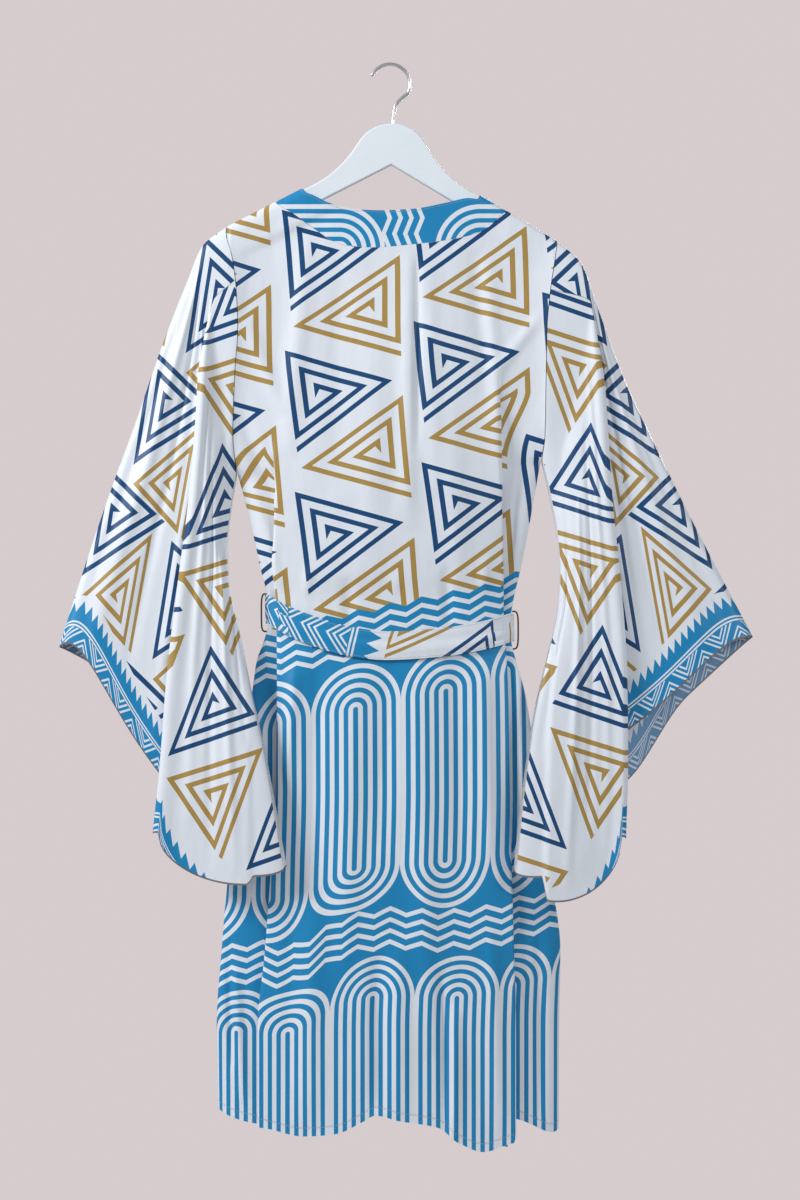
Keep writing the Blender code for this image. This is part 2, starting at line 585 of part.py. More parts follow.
def belt_grid(across):
    """Middle surface of the belt: the columns of the panels under it moved out, once round."""
    shown = [place for place in back_places() if place <= 1.0 or 4.0 <= place <= 5.0 or place >= 8.0]
    back_place = np.array(shown)
    front_place = np.array(FRONT_PLACES)
    off = 0.5 * WALL + BELT_GAP + 0.5 * BELT_WALL
    rows = []
    for share in across:
        z = np.full(back_place.shape, BELT_FRONT_Z)
        for _ in range(4):
            x = back_xy(back_place, z)[0]
            along = (2.0 * x - body_edge(z, -1) - body_edge(z, 1)) / (body_edge(z, 1) - body_edge(z, -1))
            z = smooth(BELT_BACK["across"], BELT_BACK["z"], along) + BELT_HEIGHT * (share - 0.5)
        back = np.stack([x, -body_depth(x, z, "back") - off, z], axis=-1)
        back[0] = (x[0] - off, 0.0, z[0])
        back[-1] = (x[-1] + off, 0.0, z[-1])
        fronts = []
        for side in (1, -1):
            ends = z[-1] if side > 0 else z[0]
            fz = np.full(front_place.shape, BELT_FRONT_Z)
            for _ in range(4):
                fx = body_edge(fz, side) + (front_seam_x(fz, side) - body_edge(fz, side)) * front_place**1.5
                reach = np.clip(side * fx / (side * body_edge(fz, side)), 0.0, 1.0)
                fz = BELT_FRONT_Z + BELT_HEIGHT * (share - 0.5)
                fz = fz + (ends - fz) * reach**1.5
            y = body_depth(fx, fz, "front") + LAYER + off
            fronts.append(np.stack([fx, y, fz], axis=-1)[1:])
        right, left = fronts
        band_end = front_seam_x(BELT_FRONT_Z, -1) + BAND_WIDTH
        right = right[right[:, 0] > band_end + BELT_CLEAR_OF_EDGE]
        left = left[::-1]
        bx = np.linspace(left[0, 0], band_end, 3)[:0:-1]
        bz = np.full(bx.shape, BELT_FRONT_Z + BELT_HEIGHT * (share - 0.5))
        bz = bz + (z[-1] - bz) * np.clip(bx / body_edge(bz, 1), 0.0, 1.0) ** 1.5
        band = np.stack([bx, body_depth(bx, bz, "front") + LAYER + off, bz], axis=-1)
        rows.append(np.concatenate([back, right, band, left]))
    return np.stack(rows, axis=0)


def tail_grid(tail, across, down):
    """Middle surface of one end of the belt, hanging over the outer front."""
    share, s = np.meshgrid(np.asarray(across, float), np.asarray(down, float))
    top = BELT_FRONT_Z - 0.5 * KNOT_SIZE[2] - LAY_GAP
    slant = TAIL_SLANT * (share - 0.5) * ramp((s - 0.7) / 0.3)
    z = top - tail["length"] * s + slant
    pinch = TAIL_PINCH + (1.0 - TAIL_PINCH) * ramp(4.0 * s)
    x = tail["x"] + tail["lean"] * s + tail["width"] * (share - 0.5) * pinch
    y = front_y(x, z, -1) + 0.5 * WALL + LAY_GAP + 0.5 * BELT_WALL
    return np.stack([x, y, z], axis=-1)


def grid_normals(points, closed):
    """Unit normals of a grid of points; closed means its rows are rings."""
    if closed:
        along = np.roll(points, -1, axis=1) - np.roll(points, 1, axis=1)
    else:
        along = np.gradient(points, axis=1)
    down = np.gradient(points, axis=0)
    normal = np.cross(along, down)
    return normal / np.maximum(np.linalg.norm(normal, axis=2, keepdims=True), 1e-12)


def flattened(normals, where, axis):
    """Normals with the chosen ones turned into the plane of their seam."""
    chosen = np.where((np.arange(3) == axis)[None, :], 0.0, normals[where])
    turned = normals.copy()
    turned[where] = chosen / np.linalg.norm(chosen, axis=1, keepdims=True)
    return turned


def cloth_wall(name, points, normals, wall, material, closed=False):
    """One closed solid: a grid of points given a wall, half of it to each side."""
    rows, columns = points.shape[:2]
    outer = (points + normals * wall / 2.0).reshape(-1, 3)
    inner = (points - normals * wall / 2.0).reshape(-1, 3)
    under = rows * columns
    faces = []

    def spot(i, j):
        return i * columns + j % columns

    last = columns if closed else columns - 1
    for i in range(rows - 1):
        for j in range(last):
            a, b, c, d = spot(i, j), spot(i, j + 1), spot(i + 1, j + 1), spot(i + 1, j)
            faces += [(a, b, c), (a, c, d)]
            faces += [(under + a, under + c, under + b), (under + a, under + d, under + c)]
    rim = [(spot(0, j + 1), spot(0, j)) for j in range(last)]
    rim += [(spot(rows - 1, j), spot(rows - 1, j + 1)) for j in range(last)]
    if not closed:
        rim += [(spot(i, 0), spot(i + 1, 0)) for i in range(rows - 1)]
        rim += [(spot(i + 1, columns - 1), spot(i, columns - 1)) for i in range(rows - 1)]
    for a, b in rim:
        faces += [(a, b, under + b), (a, under + b, under + a)]
    return make_object(name, np.concatenate([outer, inner]), faces, material, smooth_shading=True)


def make_object(name, vertices, faces, material, smooth_shading=False):
    mesh = bpy.data.meshes.new(name)
    mesh.from_pydata([tuple(map(float, v)) for v in vertices], [], faces)
    mesh.update()
    edit = bmesh.new()
    edit.from_mesh(mesh)
    bmesh.ops.recalc_face_normals(edit, faces=edit.faces)
    edit.to_mesh(mesh)
    edit.free()
    if smooth_shading:
        mesh.shade_smooth()
        mesh.set_sharp_from_angle(angle=math.radians(50.0))
    mesh.materials.append(material)
    thing = bpy.data.objects.new(name, mesh)
    bpy.context.scene.collection.objects.link(thing)
    return thing


def tube(name, path, radius, sides, material):
    """A round wire along a path in the XZ plane, with flat ends."""
    path = np.asarray(path, float)
    along = np.gradient(path, axis=0)
    along /= np.linalg.norm(along, axis=1)[:, None]
    aside = np.array([0.0, 1.0, 0.0])
    vertices, faces = [], []
    for point, direction in zip(path, along):
        third = np.cross(direction, aside)
        for k in range(sides):
            angle = 2.0 * math.pi * k / sides
            vertices.append(point + radius * (math.cos(angle) * third + math.sin(angle) * aside))
    for i in range(len(path) - 1):
        for k in range(sides):
            a, b = i * sides + k, i * sides + (k + 1) % sides
            faces.append((a, b, b + sides, a + sides))
    faces.append(tuple(range(sides))[::-1])
    faces.append(tuple(range((len(path) - 1) * sides, len(path) * sides)))
    return make_object(name, vertices, faces, material, smooth_shading=True)


def rounded_lump(name, centre, size, rings, sides, material):
    """A cloth knot as a soft rounded block."""
    vertices = [np.add(centre, (0.0, 0.0, size[2] / 2.0))]
    for i in range(1, rings):
        polar = math.pi * i / rings
        for k in range(sides):
            angle = 2.0 * math.pi * k / sides
            ring = abs(math.sin(polar)) ** KNOT_SOFTNESS
            x = math.copysign(abs(math.cos(angle)) ** KNOT_SOFTNESS, math.cos(angle)) * ring
            y = math.copysign(abs(math.sin(angle)) ** KNOT_SOFTNESS, math.sin(angle)) * ring
            z = math.copysign(abs(math.cos(polar)) ** KNOT_SOFTNESS, math.cos(polar))
            vertices.append(np.add(centre, (x * size[0] / 2.0, y * size[1] / 2.0, z * size[2] / 2.0)))
    vertices.append(np.add(centre, (0.0, 0.0, -size[2] / 2.0)))
    bottom = len(vertices) - 1
    faces = []
    for k in range(sides):
        faces.append((0, 1 + k, 1 + (k + 1) % sides))
        faces.append((bottom, bottom - sides + (k + 1) % sides, bottom - sides + k))
        for i in range(rings - 2):
            a, b = 1 + i * sides + k, 1 + i * sides + (k + 1) % sides
            faces.append((a, a + sides, b + sides, b))
    return make_object(name, vertices, faces, material, smooth_shading=True)


def rounded_outline(corners):
    """A closed outline from corners (x, z, radius, points), each rounded by an arc."""
    outline = []
    count = len(corners)
    for i, (x, z, radius, points) in enumerate(corners):
        corner = np.array([x, z])
        before = np.array(corners[i - 1][:2]) - corner
        after = np.array(corners[(i + 1) % count][:2]) - corner
        before /= np.linalg.norm(before)
        after /= np.linalg.norm(after)
        half = 0.5 * math.acos(float(np.clip(before @ after, -1.0, 1.0)))
        middle = (before + after) / np.linalg.norm(before + after)
        centre = corner + middle * radius / math.sin(half)
        start = corner + before * radius / math.tan(half) - centre
        end = corner + after * radius / math.tan(half) - centre
        sweep = math.pi - 2.0 * half
        turn = math.copysign(sweep, start[0] * end[1] - start[1] * end[0])
        for k in range(points):
            angle = turn * k / (points - 1)
            cos, sin = math.cos(angle), math.sin(angle)
            turned = (start[0] * cos - start[1] * sin, start[0] * sin + start[1] * cos)
            outline.append(centre + np.array(turned))
    return outline


def hanger_outline():
    """The hanger's outline from its slopes and sizes, upright about its own middle, then tilted."""
    apex = HUMP_RADIUS / math.cos(HUMP_SLOPE) - HUMP_RADIUS
    cloth_clear = (0.5 * WALL + HANGER_CLEARANCE) / math.cos(ARM_SLOPE)
    line_at_zero = CLOTH_LINE_Z - HANGER_TOP_Z - cloth_clear + CLOTH_LINE_X * math.tan(ARM_SLOPE)
    shoulder_x = (apex - line_at_zero) / (math.tan(HUMP_SLOPE) - math.tan(ARM_SLOPE))
    shoulder_z = apex - shoulder_x * math.tan(HUMP_SLOPE)
    tip_z = line_at_zero - HANGER_HALF_SPAN * math.tan(ARM_SLOPE)
    notch_z = line_at_zero - ARM_DEPTH / math.cos(ARM_SLOPE)
    drop_x, drop_z = ARM_DEPTH * math.sin(ARM_SLOPE), ARM_DEPTH * math.cos(ARM_SLOPE)
    half = [
        (shoulder_x, shoulder_z, FLARE_RADIUS, 6),
        (HANGER_HALF_SPAN, tip_z, ARM_TIP_RADIUS, 4),
        (HANGER_HALF_SPAN - drop_x, tip_z - drop_z, ARM_TIP_RADIUS, 4),
    ]
    corners = [(0.0, apex, HUMP_RADIUS, 13)] + half + [(0.0, notch_z, NOTCH_RADIUS, 3)]
    corners += [(-x, z, radius, points) for x, z, radius, points in reversed(half)]
    return [tilted(HANGER_CENTRE_X + x, HANGER_TOP_Z + z) for x, z in rounded_outline(corners)]


def build_hanger(material):
    outline = hanger_outline()
    count = len(outline)
    half = HANGER_THICKNESS / 2.0
    vertices = [(x, -half, z) for x, z in outline] + [(x, half, z) for x, z in outline]
    faces = [tuple(range(count))[::-1], tuple(range(count, 2 * count))]
    faces += [(i, (i + 1) % count, count + (i + 1) % count, count + i) for i in range(count)]
    hanger = make_object("hanger_body", vertices, faces, material)
    bevel = hanger.modifiers.new("soft edges", "BEVEL")
    bevel.width = HANGER_EDGE_RADIUS
    bevel.segments = 2
    bevel.limit_method = "ANGLE"
    bevel.angle_limit = math.radians(60.0)

    depth = SHANK_SINK + SHANK_CLEARANCE
    bpy.ops.mesh.primitive_cylinder_add(vertices=12, radius=WIRE_RADIUS + SHANK_CLEARANCE, depth=2.0 * depth)
    cutter = bpy.context.object
    cutter.name = "shank_hole_cutter"
    cutter.location = (HANGER_CENTRE_X, 0.0, HANGER_TOP_Z)
    cutter.rotation_euler = (0.0, HANGER_TILT, 0.0)
    cutter.hide_render = True
    cutter.display_type = "WIRE"
    hole = hanger.modifiers.new("shank hole", "BOOLEAN")
    hole.object = cutter
    hole.solver = "EXACT"
    return hanger


def hook_path():
    """Middle line of the hook's wire, from its foot inside the hanger to its tip."""
    foot = (-SHANK_SINK, -0.5 * SHANK_SINK, 0.0, SHANK_RISE)
    rows = [tilted(HANGER_CENTRE_X, HANGER_TOP_Z + rise) for rise in foot]
    rows += list(zip(SHANK_BEND["x"], SHANK_BEND["z"]))
    for k in range(HOOK_ARC_POINTS):
        angle = BAY_START + (BAY_END - BAY_START) * k / (HOOK_ARC_POINTS - 1)
        out_x, out_z = BAY_RADIUS * math.cos(angle), BAY_RADIUS * math.sin(angle)
        rows.append((BAY_CENTRE[0] + out_x, BAY_CENTRE[1] + out_z))
    rows = np.array(rows)
    run = np.concatenate([[0.0], np.cumsum(np.linalg.norm(np.diff(rows, axis=0), axis=1))])
    at = np.concatenate([run[:3], np.linspace(run[3], run[-1], HOOK_POINTS)])
    return [(smooth(run, rows[:, 0], s), 0.0, smooth(run, rows[:, 1], s)) for s in at]


def loop_path(side):
    """A thread loop from the side seam out round the belt and back."""
    top, bottom = LOOP_CENTRE_Z[side] + LOOP_HALF_HEIGHT, LOOP_CENTRE_Z[side] - LOOP_HALF_HEIGHT
    reach = max(side * body_edge(z, side) for z in np.linspace(bottom, top, 9))
    out = reach + 0.5 * WALL + BELT_GAP + BELT_WALL + LOOP_GAP + LOOP_RADIUS
    bend = 3.0 * LOOP_RADIUS
    start = side * body_edge(top, side) + 0.5 * WALL + LOOP_GAP
    end = side * body_edge(bottom, side) + 0.5 * WALL + LOOP_GAP
    corners = [(start, top), (out - bend, top), (out - 0.3 * bend, top - 0.3 * bend), (out, top - bend)]
    corners += [(out, bottom + bend), (out - 0.3 * bend, bottom + 0.3 * bend)]
    corners += [(out - bend, bottom), (end, bottom)]
    return [(side * x, 0.0, z) for x, z in corners]


def cloth_material(name, colour, roughness, metallic=0.0):
    material = bpy.data.materials.new(name)
    material.use_nodes = True
    surface = material.node_tree.nodes["Principled BSDF"]
    surface.inputs["Base Color"].default_value = colour
    surface.inputs["Roughness"].default_value = roughness
    surface.inputs["Metallic"].default_value = metallic
    return material


def spaced(start, end, count, lead=1.0):
    """Places from start to end, closer together at the start as lead grows."""
    return [start + (end - start) * (k / count) ** lead for k in range(count + 1)]


def back_places():
    """Places across the back: strips, folds and the neckline's own places between them."""
    left = spaced(0.0, 1.0, 4)[:-1] + spaced(1.0, 2.0, 3)[:-1] + [2.0] + spaced(3.0, 4.0, 3)[:-1]
    right = [9.0 - place for place in reversed(left)]
    middle = list(NECKLINE["place"])
    return left + middle + right


def armhole_heights(grid_edge, side):
    """Heights of a panel's rows along its armhole."""
    inside = (grid_edge < shoulder_line(SHOULDER_X[side]) - 6e-4) & (grid_edge > UNDERARM_Z[side] + 1e-3)
    return np.sort(grid_edge[inside])[::-1]


def sleeve_places(side, back_edge, front_edge):
    """Places round a sleeve, so that its ring at the armhole meets the rows of both panels."""
    trial = np.linspace(0.0, 5.0, 501)
    height = sleeve_grid(side, trial, [0.5], [0.0])[0, :-1, 2]
    near = np.interp(-armhole_heights(back_edge, side), -height, trial)
    near = [0.0] + [place for place in near if place < 0.95] + list(SLEEVE_FOLD_PLACES)
    near += [place for place in np.interp(-armhole_heights(back_edge, side), -height, trial) if place > 4.02]
    trial = np.linspace(0.0, 1.0, 501)
    height = sleeve_grid(side, [0.0], trial, [0.0])[0, 1:, 2]
    far = [0.0] + list(np.interp(armhole_heights(front_edge, side)[::-1], height, trial))
    return near, far


def build():
    for thing in list(bpy.data.objects):
        bpy.data.objects.remove(thing, do_unlink=True)
    white = cloth_material("white printed cloth", WHITE_CLOTH, 0.55)
    blue = cloth_material("turquoise printed cloth", TURQUOISE_CLOTH, 0.55)
    painted = cloth_material("white hanger", HANGER_WHITE, 0.35)
    chrome = cloth_material("chrome wire", CHROME, 0.15, 1.0)

    places = np.array(back_places())
    back = back_grid(places, LEVELS, UPPER_SHARES)
    z = back[..., 2]
    underarm = np.where(places < 4.5, UNDERARM_Z[-1], UNDERARM_Z[1])
    at_edge = (places == 0.0) | (places == 9.0)
    shoulder = np.zeros(z.shape, bool)
    shoulder[-1] = (places <= 4.0) | (places >= 5.0)
    normals = grid_normals(back, closed=False)
    normals = flattened(normals, at_edge[None, :] & (z > underarm), 0)
    normals = flattened(normals, at_edge[None, :] & (z <= underarm), 1)
    normals = flattened(normals, shoulder, 1)
    cloth_wall("back_panel", back, normals, WALL, white)
    neck = [i for i, place in enumerate(places) if 4.0 <= place <= 5.0]
    neck_normals = normals[-1, neck]

    fronts, seams = {}, {}
    for side, name in ((-1, "front_left"), (1, "front_right")):
        grid = front_grid(side, FRONT_PLACES, LEVELS, UPPER_SHARES)
        edge = np.zeros(grid.shape[:2], bool)
        edge[:, 0] = True
        above = grid[..., 2] > UNDERARM_Z[side]
        top = np.zeros(grid.shape[:2], bool)
        top[-1] = True
        normals = grid_normals(grid, closed=False)
        normals = flattened(normals, edge & above, 0)
        normals = flattened(normals, edge & ~above, 1)
        normals = flattened(normals, top, 1)
        cloth_wall(name, grid, normals, WALL, white)
        fronts[side], seams[side] = grid, normals[:, -1]

    left = band_side(fronts[-1], -1, BAND_ACROSS)[:-1]
    right = band_side(fronts[1], 1, BAND_ACROSS)[:-1][::-1]
    band = np.concatenate([left, band_back(back[-1, neck], BAND_ACROSS), right])
    normals = grid_normals(band, closed=False)
    seam = np.concatenate([seams[-1][:-1], neck_normals, seams[1][:-1][::-1]])
    same_way = np.sign(np.sum(seam * normals[:, 0], axis=1, keepdims=True))
    normals[:, 0] = seam * same_way
    cloth_wall("neck_band", band, normals, WALL, blue)

    for side, name, edge in ((-1, "sleeve_left", 0), (1, "sleeve_right", -1)):
        near, far = sleeve_places(side, back[:, edge, 2], fronts[side][:, 0, 2])
        grid = sleeve_grid(side, near, far, SLEEVE_DOWN)
        first = np.zeros(grid.shape[:2], bool)
        first[0] = True
        cloth_wall(name, grid, flattened(grid_normals(grid, closed=True), first, 0), WALL, white, closed=True)

    belt = belt_grid((0.0, 0.3, 0.7, 1.0))
    cloth_wall("belt", belt, grid_normals(belt, closed=True), BELT_WALL, blue, closed=True)
    belt_front = body_depth(KNOT_X, BELT_FRONT_Z, "front") + LAYER + 0.5 * WALL + BELT_GAP + BELT_WALL
    knot_centre = (KNOT_X, float(belt_front) + LAY_GAP + 0.5 * KNOT_SIZE[1], BELT_FRONT_Z)
    rounded_lump("belt_knot", knot_centre, KNOT_SIZE, 8, 12, blue)
    for name, tail in TAILS.items():
        grid = tail_grid(tail, (0.0, 0.5, 1.0), spaced(0.0, 1.0, 8))
        cloth_wall(name, grid, grid_normals(grid, closed=False), BELT_WALL, blue)
    for side, name in ((-1, "belt_loop_left"), (1, "belt_loop_right")):
        tube(name, loop_path(side), LOOP_RADIUS, 6, white)

    build_hanger(painted)
    tube("hanger_hook", hook_path(), WIRE_RADIUS, 8, chrome)


build()
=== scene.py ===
"""Looks of the kimono robe on its hanger: printed silky cloth as thin creased shells, paint and chrome.

The shells lie on the forms of the solids they stand for; metres, +Z up, the back of the robe faces -Y.
"""
import math
from functools import reduce

import bpy
import numpy as np
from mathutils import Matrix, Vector


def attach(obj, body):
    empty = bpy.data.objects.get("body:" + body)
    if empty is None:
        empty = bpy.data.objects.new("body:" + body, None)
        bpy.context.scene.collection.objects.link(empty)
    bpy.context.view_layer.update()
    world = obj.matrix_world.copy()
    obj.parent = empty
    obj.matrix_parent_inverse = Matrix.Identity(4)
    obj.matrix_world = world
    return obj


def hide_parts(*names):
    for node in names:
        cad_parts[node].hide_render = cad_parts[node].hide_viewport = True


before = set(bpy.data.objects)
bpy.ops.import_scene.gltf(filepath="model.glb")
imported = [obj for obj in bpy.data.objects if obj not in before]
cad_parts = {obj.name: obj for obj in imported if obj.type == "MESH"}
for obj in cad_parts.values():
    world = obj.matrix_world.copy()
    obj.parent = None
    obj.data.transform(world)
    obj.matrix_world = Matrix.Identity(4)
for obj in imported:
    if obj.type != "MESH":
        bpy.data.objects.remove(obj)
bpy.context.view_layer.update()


def table(names, *rows):
    """Named columns from rows of numbers."""
    return {name: np.array(column, float) for name, column in zip(names, zip(*rows))}


# Cloth
WALL = 0.0015
BELT_WALL = 0.002
SEAM_GAP = 0.0003
LAY_GAP = 0.0004
TURN = 0.0022
STEP = 4.0 * TURN
LAYER = 0.0028
BAND_WIDTH = 0.044

# Hanger: its arms slope down from a round hump, and the whole hanger hangs a little tilted
ARM_SLOPE = math.radians(29.0)
HUMP_SLOPE = math.radians(58.0)
HANGER_TILT = math.radians(2.0)
HANGER_CENTRE_X = 0.0024
HANGER_TOP_Z = -0.0696
HANGER_HALF_SPAN = 0.1900
HANGER_THICKNESS = 0.010
HANGER_CLEARANCE = 0.0016
HANGER_EDGE_RADIUS = 0.0042
HANGER_EDGE_SEGMENTS = 6
ARM_DEPTH = 0.0212
HUMP_RADIUS = 0.0468
FLARE_RADIUS = 0.130
ARM_TIP_RADIUS = 0.008
NOTCH_RADIUS = 0.002
CLOTH_LINE_X = 0.138
CLOTH_LINE_Z = -0.1686
CLOTH_LINE_RUN = 0.1

# Hook: wire bent to a round bay over a straight shank
WIRE_RADIUS = 0.0021
BAY_RADIUS = 0.0240
BAY_CENTRE = (-0.0012, -0.0219)
BAY_START = math.radians(-26.0)
BAY_END = math.radians(152.0)
SHANK_SINK = 0.018
SHANK_RISE = 0.004
SHANK_BEND = table(("x", "z"), (0.0030, -0.0600), (0.0052, -0.0480), (0.0128, -0.0385))

# Armholes and shoulders
ARMHOLE_HALF = 0.016
SHOULDER_X = {-1: -0.1974, 1: 0.1996}
UNDERARM_Z = {-1: -0.490, 1: -0.474}
CAP_DEPTH = 0.025
ARM_COVER = 0.0090
ARM_COVER_END = 0.0060
ARM_COVER_REACH = 2.5
BLEND_POWER = 5.0
ARMHOLE_FADE = 2.5
SWELL_POWER = 2.4

# Body sections: seam edges, the edges of the two long step folds, how far back and front stand out, and
# how round the section is
BODY = table(
    ("z", "left", "left_fold", "right_fold", "right", "back", "front", "round"),
    (-1.330, -0.2040, -0.1560, 0.1464, 0.2004, 0.040, 0.042, 2.2),
    (-1.150, -0.2088, -0.1560, 0.1462, 0.2012, 0.038, 0.040, 2.2),
    (-1.060, -0.2028, -0.1476, 0.1440, 0.2028, 0.036, 0.038, 2.2),
    (-0.970, -0.1950, -0.1410, 0.1416, 0.1908, 0.034, 0.036, 2.2),
    (-0.860, -0.1812, -0.1340, 0.1392, 0.1752, 0.032, 0.034, 2.2),
    (-0.760, -0.1668, -0.1336, 0.1376, 0.1620, 0.030, 0.032, 2.2),
    (-0.715, -0.1610, -0.1336, 0.1360, 0.1500, 0.028, 0.030, 2.2),
    (-0.690, -0.1520, -0.1340, 0.1340, 0.1440, 0.027, 0.029, 2.2),
    (-0.665, -0.1462, -0.1340, 0.1326, 0.1432, 0.026, 0.028, 2.2),
    (-0.640, -0.1470, -0.1350, 0.1322, 0.1466, 0.026, 0.028, 2.2),
    (-0.610, -0.1545, -0.1366, 0.1320, 0.1536, 0.028, 0.030, 2.2),
    (-0.570, -0.1632, -0.1368, 0.1316, 0.1620, 0.029, 0.031, 2.2),
    (-0.520, -0.1752, -0.1368, 0.1296, 0.1710, 0.029, 0.031, 2.0),
    (-0.480, -0.1852, -0.1372, 0.1276, 0.1780, 0.028, 0.030, 1.7),
    (-0.445, -0.1884, -0.1376, 0.1262, 0.1836, 0.026, 0.028, 1.4),
    (-0.370, -0.1860, -0.1380, 0.1250, 0.1848, 0.021, 0.024, 1.1),
    (-0.315, -0.1824, -0.1380, 0.1290, 0.1860, 0.017, 0.019, 1.0),
    (-0.265, -0.1848, -0.1380, 0.1350, 0.1908, 0.013, 0.014, 1.0),
    (-0.230, -0.1896, -0.1384, 0.1384, 0.1962, 0.0105, 0.011, 1.0),
    (-0.200, -0.1970, -0.1384, 0.1384, 0.1996, 0.0090, 0.009, 1.0),
    (-0.150, -0.1974, -0.1384, 0.1384, 0.1996, 0.0085, 0.0085, 1.0),
)

# The two long step folds of the back: where each opens, over what length, and how much cloth it hides
BACK_FOLDS = {
    -1: {"opens_z": -0.430, "over": 0.10, "hidden": 0.012},
    1: {"opens_z": -0.350, "over": 0.13, "hidden": 0.011},
}
FOLD_FLAT_WIDTH = 0.012
# How columns crowd towards the seams: on the back's side strips and on the other panels
STRIP_POWER = 1.7
PANEL_POWER = 1.5

# Hem of the back, by place across it: 0 left seam, 1 to 4 left fold, 4 to 5 middle, 5 to 8 right fold,
# 9 right seam
BACK_HEM = table(
    ("place", "z"),
    (0.00, -1.248), (1.00, -1.266), (4.00, -1.268), (4.17, -1.2768), (4.30, -1.2735), (4.40, -1.260),
    (4.455, -1.2516), (4.55, -1.258), (4.70, -1.266), (4.78, -1.284), (4.88, -1.2955), (5.00, -1.286),
    (6.00, -1.268), (7.00, -1.260), (8.00, -1.2575), (8.70, -1.2768), (9.00, -1.2735),
)
HEM_LEVEL = -1.250
HEM_EASE_LEVEL = -1.000
TOP_FIRST_GUESS = -0.18

# Neckline of the back by place across it, and the free edge of the band above it
NECKLINE = table(
    ("place", "seam_z", "edge_x", "edge_z"),
    (4.000, -0.1653, -0.1062, -0.1480),
    (4.003, -0.1657, -0.1058, -0.1486),
    (4.010, -0.1673, -0.1048, -0.1508),
    (4.025, -0.1700, -0.1025, -0.1530),
    (4.070, -0.1775, -0.0940, -0.1560),
    (4.150, -0.1932, -0.0756, -0.1650),
    (4.290, -0.2160, -0.0450, -0.1728),
    (4.420, -0.2192, -0.0144, -0.1745),
    (4.610, -0.2150, 0.0250, -0.1728),
    (4.780, -0.2085, 0.0660, -0.1655),
    (4.905, -0.1980, 0.0930, -0.1600),
    (4.975, -0.1810, 0.1035, -0.1610),
    (4.990, -0.1771, 0.1054, -0.1596),
    (4.997, -0.1745, 0.1064, -0.1573),
    (5.000, -0.1741, 0.1068, -0.1568),
)
NECK_POINT_X = 0.1384
BAND_TOP_WIDTH = 0.0370
NECK_CORNER_GAP = 0.0005
CORNER_PLACES = 0.012

# Front edge of the outer front, where the band is sewn on; the inner front is its mirror image
FRONT_EDGE = table(
    ("z", "seam_x"),
    (-1.330, 0.0990), (-1.050, 0.0840), (-0.850, 0.0660), (-0.740, 0.0520), (-0.650, 0.0330),
    (-0.560, 0.0020), (-0.450, -0.0380), (-0.300, -0.0930), (-0.190, -0.1310), (-0.170, -0.1372),
    (-0.160, -0.1384),
)
FRONT_HEM = {
    -1: table(("place", "z"), (0.0, -1.248), (0.45, -1.247), (0.85, -1.250), (0.93, -1.270), (1.0, -1.299)),
    1: table(("place", "z"), (0.0, -1.2735), (0.25, -1.262), (0.55, -1.247), (1.0, -1.244)),
}
BAND_HEM_DROP = {-1: 0.008, 1: -0.002}
BAND_DROP_FROM = -1.10
BAND_DROP_OVER = 0.15
SLOPE_STEP = 0.004
OVERLAP_RAMP = 0.034
OVERLAP_LEAD = 0.010
CROSS_HALF = 0.02
ARM_DROP_FROM = -0.40
ARM_DROP_OVER = 0.20

